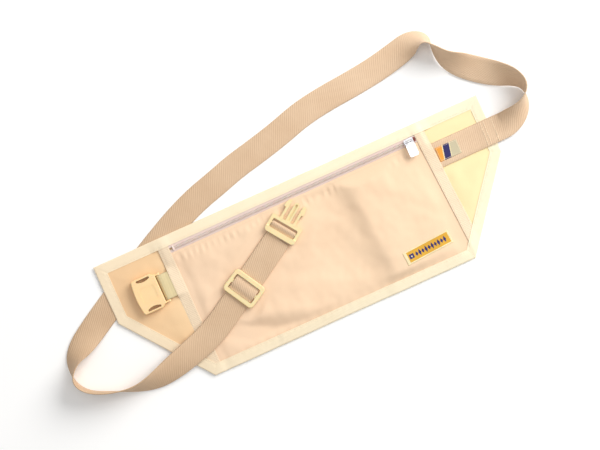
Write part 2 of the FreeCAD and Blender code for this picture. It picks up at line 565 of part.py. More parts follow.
def strap_stations():
    """Centre, direction and roll along the route: straight runs joined by tangent arcs."""
    points = ROUTE + [strap_end()]
    spots = [V(*p[:3]) for p in points]
    stations = [(spots[0], (spots[1] - spots[0]).normalize(), points[0][3])]
    radii = []
    for i in range(1, len(points) - 1):
        into, out = spots[i] - spots[i - 1], spots[i + 1] - spots[i]
        reach = ARC_SHARE * min(into.Length, out.Length)
        into.normalize()
        out.normalize()
        turn = into.getAngle(out)
        radius = reach / math.tan(turn / 2)
        radii.append(radius)
        steps = max(2, math.ceil(math.degrees(turn) / 9))
        start = spots[i] - into * reach
        side = out - into * into.dot(out)
        side.normalize()
        for k in range(steps + 1):
            a = turn * k / steps
            centre = start + into * (radius * math.sin(a)) + side * (radius * (1 - math.cos(a)))
            share = k / steps - 0.5
            towards = points[i + 1][3] if share > 0 else points[i - 1][3]
            roll = points[i][3] + (towards - points[i][3]) * abs(share) * 2 * ARC_SHARE
            stations.append((centre, into * math.cos(a) + side * math.sin(a), roll))
    stations.append((spots[-1], (spots[-1] - spots[-2]).normalize(), points[-1][3]))
    print("strap: smallest radii", sorted(round(r, 1) for r in radii)[:6])
    return stations


def section(centre, along, roll):
    """Webbing's cross-section at a station, as a closed wire."""
    level = V(-along.y, along.x, 0).normalize()
    up = along.cross(level).normalize()
    a = math.radians(roll)
    wide = (level * math.cos(a) + up * math.sin(a)) * (WEB_W / 2)
    thick = (up * math.cos(a) - level * math.sin(a)) * (WEB_T / 2)
    ring = [centre + wide + thick, centre - wide + thick, centre - wide - thick, centre + wide - thick]
    return Part.makePolygon(ring + [ring[0]])


def strap_run():
    stations = strap_stations()
    solid = Part.makeLoft([section(*s) for s in stations], True, True)
    length = sum((b[0] - a[0]).Length for a, b in zip(stations, stations[1:]))
    print("strap: length %.1f, volume / (section x length) = %.4f"
          % (length, solid.Volume / (length * WEB_W * WEB_T)))
    return solid


def strap_return():
    """Doubled-back layer between the adjuster's middle bar and the plug."""
    end = strap_end()
    yaw = math.radians(LINE_YAW)
    long = (end[0] - GLIDE_XY[0]) * math.cos(yaw) + (end[1] - GLIDE_XY[1]) * math.sin(yaw)
    layer_solid = block(0, long, -WEB_W / 2, WEB_W / 2, RETURN_Z, RETURN_Z + WEB_T)
    return place(layer_solid, GLIDE_XY, LINE_YAW)


def strap_anchor():
    """Sewn end of the strap: from the right seam tape over the end binding."""
    lean = math.cos(math.radians(SEAM_RIGHT_TURN))
    x0 = right_seam(ANCHOR_Y - WEB_W / 2) + SEAM_W / 2 / lean + LAYER_GAP
    foot = POUCH_L / 2 - BINDING_W - ANCHOR_CLIMB
    line = [(x0, WING_Z), (foot, WING_Z), (foot + ANCHOR_CLIMB - 0.5, EDGE_T + LAYER_GAP),
            (POUCH_L / 2, EDGE_T + LAYER_GAP)]
    return side_prism(line + [(x, z + WEB_T) for x, z in line[::-1]], ANCHOR_Y - WEB_W / 2,
                      ANCHOR_Y + WEB_W / 2)


# ---------------------------------------------------------------- labels
def label(spec, z):
    x, y, long, wide, turn = spec
    return place(block(-long / 2, long / 2, -wide / 2, wide / 2, z, z + LABEL_T), (x, y), turn)


# ---------------------------------------------------------------- all pieces
NODES = {
    "back_panel": back_panel,
    "front_panel": front_panel,
    "edge_binding": edge_binding,
    "seam_tape_left": lambda: seam_tape(-1),
    "seam_tape_right": lambda: seam_tape(1),
    "zip_tape_upper": lambda: zip_tape(1),
    "zip_tape_lower": lambda: zip_tape(-1),
    "zip_coil_upper": lambda: zip_coil(1),
    "zip_coil_lower": lambda: zip_coil(-1),
    "zip_top_stops": zip_top_stops,
    "zip_bottom_stop": zip_bottom_stop,
    "zip_slider": zip_slider,
    "zip_pull_tab": zip_pull_tab,
    "buckle_socket": buckle_socket,
    "socket_web_loop": socket_web_loop,
    "tri_glide": tri_glide,
    "glide_web_fold": glide_web_fold,
    "buckle_plug": buckle_plug,
    "plug_prong_left": lambda: plug_prong(1),
    "plug_prong_right": lambda: plug_prong(-1),
    "plug_web_fold": plug_web_fold,
    "strap_anchor": strap_anchor,
    "strap_run": strap_run,
    "strap_return": strap_return,
    "front_label": lambda: label(FRONT_LABEL, FRONT_TOP + LAYER_GAP),
    "strap_label": lambda: label(STRAP_LABEL, WING_Z + WEB_T + LAYER_GAP),
}

os.makedirs("parts", exist_ok=True)
for node, make in NODES.items():
    shape = make()
    box = shape.BoundBox
    print("%-18s valid=%s solids=%d volume=%.1f z %.2f..%.2f"
          % (node, shape.isValid(), len(shape.Solids), shape.Volume, box.ZMin, box.ZMax))
    shape.exportStep("parts/%s.step" % node)
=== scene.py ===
"""Visual model of a money belt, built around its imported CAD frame.

The belt is a flat six-sided zipped pocket with bound edges.  A webbing strap is sewn to its right end, loops round
behind it and comes back over the front, through an adjuster, to a side-release buckle plug.
"""
import logging
import math
from dataclasses import dataclass, field
from enum import Enum
from typing import Callable, Optional, Sequence, Union

import bpy
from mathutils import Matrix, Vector, noise


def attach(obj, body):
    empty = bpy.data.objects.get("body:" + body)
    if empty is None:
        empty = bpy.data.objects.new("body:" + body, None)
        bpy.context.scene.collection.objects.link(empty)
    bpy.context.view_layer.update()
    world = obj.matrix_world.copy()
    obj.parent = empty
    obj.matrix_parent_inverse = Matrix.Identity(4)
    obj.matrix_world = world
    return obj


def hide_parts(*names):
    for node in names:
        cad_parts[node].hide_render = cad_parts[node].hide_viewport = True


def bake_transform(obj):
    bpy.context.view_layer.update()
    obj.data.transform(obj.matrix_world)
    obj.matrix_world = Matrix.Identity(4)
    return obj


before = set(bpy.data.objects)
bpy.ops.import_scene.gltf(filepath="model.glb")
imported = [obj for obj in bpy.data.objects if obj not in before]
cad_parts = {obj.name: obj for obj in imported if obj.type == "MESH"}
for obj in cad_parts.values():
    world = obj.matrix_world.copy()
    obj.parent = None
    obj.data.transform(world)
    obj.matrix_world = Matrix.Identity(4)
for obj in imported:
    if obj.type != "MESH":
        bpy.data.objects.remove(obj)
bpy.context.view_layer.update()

LOG = logging.getLogger("money_belt")
MM = 0.001
TURN = 2 * math.pi
Colour = tuple[float, float, float]
Shade = tuple[int, int, int]
Wire = bpy.types.NodeSocket
Piece = bpy.types.Object
Feed = Union[float, Wire, None]
Height = Callable[[float, float], float]
Spot = tuple[float, float]


def smooth(low: float, high: float, value: float) -> float:
    """Share from 0 at low to 1 at high, level at both ends; high may be below low."""
    t = min(1.0, max(0.0, (value - low) / (high - low)))
    return t * t * (3 - 2 * t)


def bell(distance: float, width: float) -> float:
    """A soft bell: 1 where distance is 0, and falling to almost nothing at twice the width."""
    return math.exp(-(distance / width) ** 2)


def rough_field(x: float, y: float, size: float, seed: float = 0.0) -> float:
    """Smooth unevenness from -1 to 1 over lumps of a size; seed chooses another pattern, the same on every run."""
    return noise.noise(Vector((x / size, y / size, seed)))


def linear(shade: Shade) -> Colour:
    """A display colour as linear light.

    Args:
        shade: Its red, green and blue parts, 0 to 255.

    Returns:
        The three linear parts.
    """
    def part(value: int) -> float:
        """One channel, by the display standard's curve."""
        share = value / 255
        return share / 12.92 if share <= 0.04045 else ((share + 0.055) / 1.055) ** 2.4
    return part(shade[0]), part(shade[1]), part(shade[2])


# ---------------------------------------------------------------- finishes
class Weave(Enum):
    """How a cloth's threads cross."""

    PLAIN = "plain"
    TWILL = "twill"
    RIB = "rib"
    HERRINGBONE = "herringbone"


class NodeBoard:
    """A new material and short ways to add nodes to it."""

    def __init__(self, name: str) -> None:
        """Starts a material.

        Args:
            name: The material's name.
        """
        self.material = bpy.data.materials.new(name)
        self.material.use_nodes = True
        self.nodes = self.material.node_tree.nodes
        self.links = self.material.node_tree.links
        self.shader = self.nodes["Principled BSDF"]

    def feed(self, socket: Wire, value: Feed) -> None:
        """Joins or sets one input.

        Args:
            socket: The input.
            value: An output to join to it, or a number to set.
        """
        if isinstance(value, Wire):
            self.links.new(value, socket)
        elif value is not None:
            socket.default_value = value

    def show(self, socket: str, wire: Wire) -> None:
        """Joins an output to one of the shader's inputs."""
        self.links.new(wire, self.shader.inputs[socket])

    def math(self, operation: str, first: Feed, second: Feed = None, third: Feed = None) -> Wire:
        """Adds a Math node.

        Args:
            operation: Blender's name of the sum.
            first: First input.
            second: Second input.
            third: Third input.

        Returns:
            Its output.
        """
        node = self.nodes.new("ShaderNodeMath")
        node.operation = operation
        for socket, value in zip(node.inputs, (first, second, third)):
            self.feed(socket, value)
        return node.outputs[0]

    def ridges(self, place: Wire, pitch: float) -> Wire:
        """Rounded ridges from 0 to 1, a pitch apart along a coordinate."""
        wave = self.math("SINE", self.math("MULTIPLY", place, TURN / pitch))
        return self.math("MULTIPLY_ADD", wave, 0.5, 0.5)

    def lumps(self, coordinate: Wire, scale: float, detail: float = 3.0) -> Wire:
        """Adds a noise texture.

        Args:
            coordinate: Where to read it.
            scale: Lumps in a metre.
            detail: Finer layers.

        Returns:
            Its value.
        """
        node = self.nodes.new("ShaderNodeTexNoise")
        self.links.new(coordinate, node.inputs["Vector"])
        node.inputs["Scale"].default_value = scale
        node.inputs["Detail"].default_value = detail
        return node.outputs[0]

    def range(self, value: Wire, low: float, high: float) -> Wire:
        """Maps the middle of a 0 to 1 value on to a range.

        Args:
            value: The value.
            low: Result for 0.3.
            high: Result for 0.7.

        Returns:
            The mapped value.
        """
        node = self.nodes.new("ShaderNodeMapRange")
        self.links.new(value, node.inputs[0])
        for socket, number in zip(node.inputs[1:5], (0.3, 0.7, low, high)):
            socket.default_value = number
        return node.outputs[0]

    def blend(self, share: Feed, first: Union[Colour, Wire], second: Union[Colour, Wire]) -> Wire:
        """Mixes two colours.

        Args:
            share: 0 for the first, 1 for the second.
            first: First colour.
            second: Second colour.

        Returns:
            The mixed colour.
        """
        node = self.nodes.new("ShaderNodeMix")
        node.data_type = "RGBA"
        self.feed(node.inputs[0], share)
        for socket, colour in zip((node.inputs[6], node.inputs[7]), (first, second)):
            self.feed(socket, colour if isinstance(colour, Wire) else (*colour, 1))
        return node.outputs[2]

    def coordinates(self, name: str) -> Wire:
        """One of the texture coordinates, UV or Object."""
        return self.nodes.new("ShaderNodeTexCoord").outputs[name]

    def axis(self, name: str, number: int) -> Wire:
        """One axis of one of the texture coordinates.

        Args:
            name: UV or Object.
            number: The axis, 0 to 2.

        Returns:
            Its value.
        """
        split = self.nodes.new("ShaderNodeSeparateXYZ")
        self.links.new(self.coordinates(name), split.inputs[0])
        return split.outputs[number]

    def bump(self, height: Wire, depth: float, strength: float) -> None:
        """Raises the surface by a height map.

        Args:
            height: The map, 0 to 1.
            depth: Real height of 1, in metres.
            strength: Share of it to show.
        """
        node = self.nodes.new("ShaderNodeBump")
        node.inputs["Distance"].default_value = depth
        node.inputs["Strength"].default_value = strength
        self.links.new(height, node.inputs["Height"])
        self.show("Normal", node.outputs[0])

    def settle(self, **values: float) -> None:
        """Sets the shader's own sockets, named with _ for spaces."""
        for name, value in values.items():
            self.shader.inputs[name.replace("_", " ")].default_value = value


@dataclass(frozen=True)
class Finish:
    """A recipe for one material.

    Attributes:
        name: The finish's name.
    """

    name: str

    def paint(self, board: NodeBoard) -> None:
        """Adds this finish's nodes to a new material."""
        raise NotImplementedError

    def make(self) -> bpy.types.Material:
        """Builds the material.

        Returns:
            The new material.
        """
        board = NodeBoard(self.name)
        self.paint(board)
        return board.material


@dataclass(frozen=True)
class Woven(Finish):
    """Cloth, tape or webbing with real thread spacing.

    Attributes:
        top: Colour of the threads' crowns.
        deep: Colour of the painted shade between them, and of the darker patches.
        weave: How the threads cross.
        pitch: Thread spacing, in metres.
        relief: Depth of the weave, in metres.
        patch: Size of the slow changes of colour, in metres.
        sheen: Nap on the surface.
        rough: Surface roughness.
        left: Crown and deep colours at the pocket's left end: painted shade, darker there because it lies away from the
            light.
    """

    top: Shade
    deep: Shade
    weave: Weave
    pitch: float
    relief: float
    patch: float = 0.03
    sheen: float = 0.25
    rough: float = 0.8
    left: Optional[tuple[Shade, Shade]] = None

    def threads(self, board: NodeBoard) -> Wire:
        """Height of the weave.

        Args:
            board: The material.

        Returns:
            Height from 0 to 1.
        """
        along, across = board.axis("UV", 0), board.axis("UV", 1)
        if self.weave is Weave.PLAIN:
            return board.math("MULTIPLY", board.ridges(along, self.pitch), board.ridges(across, self.pitch))
        if self.weave is Weave.RIB:
            fine = board.ridges(across, self.pitch * 0.6)
            return board.math("MULTIPLY_ADD", fine, 0.25, board.math("MULTIPLY", board.ridges(along, self.pitch), 0.75))
        if self.weave is Weave.HERRINGBONE:
            across = board.math("PINGPONG", across, self.pitch * 3)
        slant = board.ridges(board.math("MULTIPLY_ADD", across, 0.8, along), self.pitch)
        cross = board.ridges(board.math("MULTIPLY_ADD", across, -1.6, along), self.pitch * 0.9)
        return board.math("MULTIPLY_ADD", cross, 0.3, board.math("MULTIPLY", slant, 0.7))

    def paint(self, board: NodeBoard) -> None:
        """Adds the weave with painted shade between its threads, its slow changes of colour, the painted shade at the
        left end and the fuzz.

        Args:
            board: The material.
        """
        height = self.threads(board)
        slow = board.lumps(board.coordinates("Object"), 1 / self.patch)
        # Painted shade: the weave's height darkens the colour between the threads; the slow noise adds random patches
        # of tone.
        share = board.math("MULTIPLY_ADD", height, 0.45, board.range(slow, 0.15, 0.55))
        colour = board.blend(share, linear(self.deep), linear(self.top))
        # Painted shade: towards the pocket's left end, away from the light, the colour fades to the darker left
        # colours.
        if self.left:
            painted_light_share = board.math("MULTIPLY_ADD", board.axis("Object", 0), 2.8, 0.55)
            painted_light_share.node.use_clamp = True
            colour = board.blend(painted_light_share, board.blend(share, linear(self.left[1]), linear(self.left[0])), colour)
        board.show("Base Color", colour)
        board.show("Roughness", board.range(slow, self.rough - 0.06, self.rough + 0.06))
        fuzz = board.lumps(board.coordinates("Object"), 1.6 / self.pitch, 2.0)
        board.bump(board.math("MULTIPLY_ADD", fuzz, 0.35, height), self.relief, 0.8)
        board.settle(Sheen_Weight=self.sheen, Sheen_Roughness=0.45, Specular_IOR_Level=0.25)


@dataclass(frozen=True)
class Hard(Finish):
    """A hard surface with slow patches of colour, scuffs and a fine grain.

    Attributes:
        face: Main colour.
        worn: Colour of the thicker-looking or handled patches.
        patches: Patches in a metre.
        scuffs: Scuffs in a metre.
        gloss: Lowest and highest roughness.
        grain: Grains in a metre.
        depth: Depth of the grain, in metres.
        relief: Share of the grain to show.
    """

    face: Colour
    worn: Colour
    patches: float
    scuffs: float
    gloss: Spot
    grain: float
    depth: float
    relief: float

    def paint(self, board: NodeBoard) -> None:
        """Adds the patches, scuffs and grain.

        Args:
            board: The material.
        """
        place = board.coordinates("Object")
        board.show("Base Color", board.blend(board.lumps(place, self.patches), self.worn, self.face))
        board.show("Roughness", board.range(board.lumps(place, self.scuffs, 4.0), *self.gloss))
        board.bump(board.lumps(place, self.grain, 2.0), self.depth, self.relief)


@dataclass(frozen=True)
class Moulded(Hard):
    """Injection-moulded plastic.

    Attributes:
        glow: Share of light that passes under the skin.
    """

    glow: float

    def paint(self, board: NodeBoard) -> None:
        """Adds a little depth under the skin."""
        super().paint(board)
        board.settle(Specular_IOR_Level=0.5, Subsurface_Weight=self.glow, Subsurface_Scale=0.002)


@dataclass(frozen=True)
class Plated(Hard):
    """Plated or painted metal."""

    def paint(self, board: NodeBoard) -> None:
        """Makes the surface metal."""
        super().paint(board)
        board.settle(Metallic=1.0)


@dataclass(frozen=True)
class Floor(Finish):
    """Plain pale ground.

    Attributes:
        shade: Colour.
    """

    shade: Colour

    def paint(self, board: NodeBoard) -> None:
        """Sets the one colour."""
        board.settle(Base_Color=(*self.shade, 1), Roughness=0.9, Specular_IOR_Level=0.1)


def cloth(name: str, top: Shade, deep: Shade, patch: float, left: tuple[Shade, Shade]) -> Woven:
    """A smooth pocket cloth, with its patches' size and its two colours of painted shade at the left end."""
    return Woven(name, top, deep, Weave.PLAIN, 0.8 * MM, 0.06 * MM, patch=patch, sheen=0.08, rough=0.62, left=left)


def tape(name: str, top: Shade, deep: Shade, pitch: float, relief: float, weave: Weave = Weave.RIB,
         left: Optional[tuple[Shade, Shade]] = None) -> Woven:
    """A narrow tape or thread, with its thread spacing and depth in millimetres; left gives its colours of painted
    shade at the left end.
    """
    return Woven(name, top, deep, weave, pitch * MM, relief * MM, sheen=0.1, left=left)


def plastic(name: str, skin: Shade, deep: Shade, rough: float = 0.34, glow: float = 0.12) -> Moulded:
    """A moulded plastic, with the colour of its thicker-looking patches and the light under its skin."""
    gloss = (rough - 0.08, rough + 0.1)
    return Moulded(name, linear(skin), linear(deep), 90.0, 700.0, gloss, 2400.0, 0.02 * MM, 0.5, glow)


def metal(name: str, face: Colour, worn: Colour, rough: float = 0.22) -> Plated:
    """A plated metal, with the colour of its handled patches."""
    return Plated(name, face, worn, 500.0, 1800.0, (rough, rough + 0.15), 3000.0, 0.01 * MM, 0.4)


LABEL_COLOURS = {"gold": ((226, 178, 70), (206, 152, 48)), "navy": ((66, 62, 118), (40, 38, 86)),
                 "pale": ((246, 232, 192), (226, 206, 156)), "orange": ((244, 176, 84), (230, 152, 60)),
                 "grey": ((212, 202, 172), (192, 180, 150))}
# The left colours of the strap, pocket, lining and binding are painted shade: each darkens towards the pocket's left
# end, away from the light.
FINISHES = {
    "strap": Woven("strap_webbing", (232, 204, 174), (212, 178, 144), Weave.TWILL, 2.3 * MM, 0.32 * MM, sheen=0.08,
                   left=((216, 186, 154), (192, 158, 124))),
    "loop": Woven("loop_webbing", (220, 204, 162), (196, 178, 134), Weave.TWILL, 1.9 * MM, 0.30 * MM),
    "pocket": cloth("pocket_cloth", (243, 215, 182), (237, 204, 170), 0.05, ((244, 214, 184), (236, 202, 170))),
    "lining": cloth("lining_cloth", (251, 232, 184), (245, 222, 170), 0.06, ((240, 204, 162), (230, 190, 146))),
    "binding": tape("binding_tape", (250, 240, 212), (242, 229, 196), 1.1, 0.14,
                    left=((249, 231, 201), (239, 217, 185))),
    "seam": tape("seam_tape", (242, 222, 194), (226, 202, 172), 1.6, 0.2),
    "zip_tape": tape("zip_tape", (234, 214, 204), (218, 194, 186), 0.9, 0.10, Weave.HERRINGBONE),
    "thread": tape("sewing_thread", (246, 230, 202), (236, 214, 184), 0.5, 0.05),
    "socket": plastic("socket_plastic", (248, 214, 160), (242, 204, 148)),
    "buckle": plastic("buckle_plastic", (241, 223, 171), (228, 205, 151)),
    "coil": plastic("zip_coil", (250, 234, 224), (238, 218, 209), rough=0.4, glow=0.1),
    "slider": metal("slider_metal", (0.66, 0.66, 0.70), (0.50, 0.50, 0.54)),
    "tab": metal("pull_tab_metal", (0.98, 0.98, 0.99), (0.90, 0.90, 0.93)),
    "stop": metal("stop_metal", linear((150, 84, 78)), linear((112, 58, 56)), rough=0.35),
    "floor": Floor("floor", (0.97, 0.97, 0.97)),
}
FINISHES |= {key: Woven(f"label_{key}", top, deep, Weave.PLAIN, 0.6 * MM, 0.08 * MM)
             for key, (top, deep) in LABEL_COLOURS.items()}


class Wardrobe:
    """Makes each finish once, when it is first asked for."""

    def __init__(self) -> None:
        """Starts with nothing made."""
        self.made: dict[str, bpy.types.Material] = {}

    def get(self, name: str) -> bpy.types.Material:
        """One finish.

        Args:
            name: Its key in FINISHES.

        Returns:
            The material.
        """
        if name not in self.made:
            self.made[name] = FINISHES[name].make()
        return self.made[name]

    def dress(self, finish: str, *nodes: str) -> None:
        """Gives CAD nodes a finish.

        Args:
            finish: The finish's key.
            *nodes: The nodes' names.
        """
        for node in nodes:
            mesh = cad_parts[node].data
            mesh.materials.clear()
            mesh.materials.append(self.get(finish))


WARDROBE = Wardrobe()


# ---------------------------------------------------------------- mesh building
class Cut:
    """A piece being built from rows of points, with cloth coordinates in metres."""

    def __init__(self) -> None:
        """Starts empty."""
        self.points: list[Vector] = []
        self.faces: list[tuple[int, ...]] = []
        self.cloth: list[Spot] = []
        self.zones: list[int] = []
        self.caps: list[int] = []

    def rows(self, rows: Sequence[Sequence[Vector]], cloth: Sequence[Sequence[Spot]],
             ring: bool = False, capped: bool = False, zone: Optional[Callable[[int, int], int]] = None) -> None:
        """Adds a grid.

        Args:
            rows: Points, row by row.
            cloth: Cloth coordinate of each point.
            ring: Whether each row closes on itself.
            capped: Whether the first and last rows are closed by a face.
            zone: Finish number of the face at a row and column.
        """
        base, wide = len(self.points), len(rows[0])
        for row, places in zip(rows, cloth):
            self.points.extend(row)
            self.cloth.extend(places)
        for i in range(len(rows) - 1):
            for j in range(wide if ring else wide - 1):
                k = (j + 1) % wide
                corners = (i * wide + j, i * wide + k, (i + 1) * wide + k, (i + 1) * wide + j)
                self.faces.append(tuple(base + c for c in corners))
                self.zones.append(zone(i, j) if zone else 0)
        if capped:
            last = base + (len(rows) - 1) * wide
            self.faces.append(tuple(base + j for j in reversed(range(wide))))
            self.faces.append(tuple(last + j for j in range(wide)))
            self.zones.extend((0, 0))
            self.caps.extend((len(self.faces) - 2, len(self.faces) - 1))

    def finish(self, name: str, finishes: Sequence[str], body: str, slot: str,
               nodes: Sequence[str] = ()) -> Piece:
        """Makes the object, hides the CAD nodes that it stands for and hangs it on its body.

        Args:
            name: Name of the piece.
            finishes: Keys of its finishes, in zone order.
            body: CAD body that it rides on; empty where it rides on none.
            slot: Name of a material slot; not used.
            nodes: CAD nodes that it stands for.

        Returns:
            The new object.
        """
        mesh = bpy.data.meshes.new(name)
        mesh.from_pydata([tuple(p) for p in self.points], [], self.faces)
        places = mesh.uv_layers.new(name="cloth")
        for loop, spot in zip(mesh.loops, places.data):
            spot.uv = self.cloth[loop.vertex_index]
        for polygon, zone in zip(mesh.polygons, self.zones):
            polygon.material_index = zone
            polygon.use_smooth = True
        for finish in finishes:
            mesh.materials.append(WARDROBE.get(finish))
        mesh.update()
        for cap in self.caps:
            mesh.polygons[cap].use_smooth = False
            for corner in mesh.polygons[cap].loop_indices:
                mesh.edges[mesh.loops[corner].edge_index].use_edge_sharp = True
        piece = bpy.data.objects.new(name, mesh)
        bpy.context.scene.collection.objects.link(piece)
        if nodes:
            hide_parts(*nodes)
        if body:
            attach(piece, body)
        LOG.info("%s: %d faces", name, len(mesh.polygons))
        return piece


def thicken(piece: Piece, thickness: float) -> None:
    """Gives a sheet, whose faces look down, its thickness below its surface."""
    solid = piece.modifiers.new("cloth_thickness", "SOLIDIFY")
    solid.thickness, solid.offset = thickness, 1.0


def travelled(points: Sequence[Vector]) -> list[float]:
    """Distance along a line to each of its points.

    Args:
        points: The line.

    Returns:
        The distances, from 0.
    """
    found = [0.0]
    for a, b in zip(points, points[1:]):
        found.append(found[-1] + (b - a).length)
    return found


def ring_of_six(middle: Vector, one: Vector, other: Vector, radius: float) -> list[Vector]:
    """Six points round a middle, in the plane of two directions."""
    return [middle + (one * math.cos(a) + other * math.sin(a)) * radius for a in (TURN * j / 6 for j in range(6))]


def half_turn(x: float, z: float, radius: float, way: int) -> list[Spot]:
    """Eleven points (x, z) of webbing that turns up round a bar, bulging towards +x or -x, as way is 1 or -1."""
    return [(x + way * radius * math.sin(a), z - radius * math.cos(a)) for a in (math.pi * k / 10 for k in range(11))]


def webbing_ring(width: float, thickness: float) -> list[Spot]:
    """Section of webbing: flat faces and rounded selvedges.

    Args:
        width: Full width.
        thickness: Full thickness.

    Returns:
        Points (across, up), counter-clockwise.
    """
    half, r = width / 2, thickness / 2
    flat = half - r
    across = [flat * k / 4 for k in range(4, -5, -1)]
    top = [(x, r) for x in across]
    left = [(-flat - r * math.sin(a), r * math.cos(a)) for a in (math.pi / 3, math.pi / 2, 2 * math.pi / 3)]
    bottom = [(-x, -r) for x in across]
    right = [(-x, -y) for x, y in left]
    return top + left + bottom + right


def make_webbing(name: str, node: str, body: str, centres: Sequence[Vector], across: Union[Vector, Sequence[Vector]],
                 width: float, thickness: float, finish: str = "strap") -> Piece:
    """Makes a length of webbing that stands for a CAD node.

    Args:
        name: Name of the piece.
        node: The node.
        body: CAD body that it rides on; empty where it rides on none.
        centres: Its centre line.
        across: Direction from edge to edge, one for all or one at each centre.
        width: Full width.
        thickness: Full thickness.
        finish: Key of its finish.

    Returns:
        The piece.
    """
    if isinstance(across, Vector):
        across = [across] * len(centres)
    far = travelled(centres)
    section = webbing_ring(width, thickness)
    edge = travelled([Vector((*p, 0)) for p in section])
    rows, cloth = [], []
    for i, centre in enumerate(centres):
        along = centres[min(i + 1, len(centres) - 1)] - centres[max(i - 1, 0)]
        up = along.cross(across[i]).normalized()
        rows.append([centre + across[i] * w + up * t for w, t in section])
        cloth.append([(far[i], e) for e in edge])
    cut = Cut()
    cut.rows(rows, cloth, ring=True, capped=True)
    return cut.finish(name, [finish], body, f"{finish}_webbing", [node])


# One stitch, from end to end: place along it, share of its rise, share of the thread's radius.
STITCH = ((0.0, -0.9, 0.6), (0.12, 0.0, 0.95), (0.5, 1.0, 1.0), (0.88, 0.0, 0.95), (1.0, -0.9, 0.6))


def add_stitches(cut: Cut, line: Sequence[Vector], pitch: float = 2.9 * MM, radius: float = 0.18 * MM,
                 gap: float = 0.5 * MM, rise: float = 0.05 * MM) -> None:
    """Adds a row of lock stitches along a line on the cloth.

    Args:
        cut: The piece being built.
        line: Points on the cloth's surface.
        pitch: Stitch to stitch.
        radius: Half the thread's thickness.
        gap: Space where the thread is down in its hole.
        rise: How far a stitch's middle stands above its ends.
    """
    far = travelled(line)

    def spot(distance: float) -> Vector:
        """Finds a point on the line.

        Args:
            distance: How far along.

        Returns:
            The point.
        """
        for i in range(1, len(far)):
            if far[i] >= distance:
                share = (distance - far[i - 1]) / max(far[i] - far[i - 1], 1e-9)
                return line[i - 1].lerp(line[i], share)
        return line[-1]

    count, long = int(far[-1] / pitch), pitch - gap
    for k in range(count):
        start = (k + 0.5 * (far[-1] / pitch - count)) * pitch + gap / 2
        ahead = (spot(start + long) - spot(start)).normalized()
        side = ahead.cross(Vector((0, 0, 1))).normalized()
        up = side.cross(ahead)
        rows, cloth = [], []
        for share, rises, size in STITCH:
            rows.append(ring_of_six(spot(start + share * long) + up * (rises * rise), side, up, radius * size))
            cloth.append([(share * pitch, j * radius) for j in range(6)])
        cut.rows(rows, cloth, ring=True, capped=True)


# ---------------------------------------------------------------- studio
@dataclass(frozen=True)
class Studio:
    """Camera, floor and soft light.

    Attributes:
        centre: Where the camera looks, on the floor.
        turn: The camera's turn about the vertical, in degrees.
        height: Camera height.
        lens: Focal length in millimetres, for a 36 mm sensor.
        key_place: Where the main light stands.
        key_size: Its width.
        key_power: Its power in watts.
        top_place: Where the light overhead hangs.
        top_size: Its width.
        top_power: Its power in watts.
        fill: Brightness of the surroundings.
    """

    centre: Spot = (-3.7 * MM, 26.5 * MM)
    turn: float = -24.3
    height: float = 1.6
    lens: float = 101.8
    key_place: tuple[float, float, float] = (1.9, 0.8, 1.45)
    key_size: float = 2.0
    key_power: float = 68.0
    top_place: tuple[float, float, float] = (-0.1, 0.1, 2.3)
    top_size: float = 1.8
    top_power: float = 13.0
    fill: float = 0.40

    def build(self) -> None:
        """Sets the camera, the floor and the lights."""
        scene = bpy.context.scene
        scene.view_settings.view_transform = "Standard"
        camera = bpy.data.cameras.new("camera")
        camera.sensor_width, camera.lens = 36.0, self.lens
        camera.clip_start, camera.clip_end = 0.05, 20.0
        stand = bpy.data.objects.new("camera", camera)
        stand.location = (*self.centre, self.height)
        stand.rotation_euler = (0.0, 0.0, math.radians(self.turn))
        scene.collection.objects.link(stand)
        scene.camera = stand
        self.lay_floor()
        self.hang_lights()

    def lay_floor(self) -> None:
        """Lays the plain floor just under the belt."""
        half, drop = 4.0, -0.05 * MM
        mesh = bpy.data.meshes.new("floor")
        mesh.from_pydata([(half * x, half * y, drop) for x, y in ((-1, -1), (1, -1), (1, 1), (-1, 1))], [], [range(4)])
        mesh.materials.append(WARDROBE.get("floor"))
        ground = bpy.data.objects.new("floor", mesh)
        bpy.context.scene.collection.objects.link(ground)

    def hang_lights(self) -> None:
        """Hangs both lights and sets the surroundings."""
        for name, place, size, power in (("key", self.key_place, self.key_size, self.key_power),
                                         ("overhead", self.top_place, self.top_size, self.top_power)):
            lamp = bpy.data.lights.new(name, "AREA")
            lamp.shape, lamp.size, lamp.energy = "DISK", size, power
            lamp.color = (1.0, 0.99, 0.97)
            hanger = bpy.data.objects.new(name, lamp)
            hanger.location = place
            towards = Vector((*self.centre, 0)) - hanger.location
            hanger.rotation_euler = towards.to_track_quat("-Z", "Y").to_euler()
            hanger.visible_camera = False
            bpy.context.scene.collection.objects.link(hanger)
        world = bpy.data.worlds.new("surroundings")
        world.use_nodes = True
        sky = world.node_tree.nodes["Background"]
        sky.inputs[0].default_value = (1.0, 1.0, 1.0, 1)
        sky.inputs[1].default_value = self.fill
        bpy.context.scene.world = world


# ---------------------------------------------------------------- strap
def spline_points(points: Sequence[Sequence[float]]) -> list[Vector]:
    """Points along a smooth spline with these control points.

    Args:
        points: Control points.

    Returns:
        The spline's own points.
    """
    line = bpy.data.curves.new("route", "CURVE")
    line.dimensions = "3D"
    spline = line.splines.new("NURBS")
    spline.points.add(len(points) - 1)
    for knot, point in zip(spline.points, points):
        knot.co = (*point, 1.0)
    spline.order_u = 3
    spline.use_endpoint_u = True
    spline.resolution_u = 8
    holder = bpy.data.objects.new("route", line)
    mesh = bpy.data.meshes.new_from_object(holder)
    found = [v.co.copy() for v in mesh.vertices]
    bpy.data.objects.remove(holder)
    bpy.data.meshes.remove(mesh)
    bpy.data.curves.remove(line)
    return found


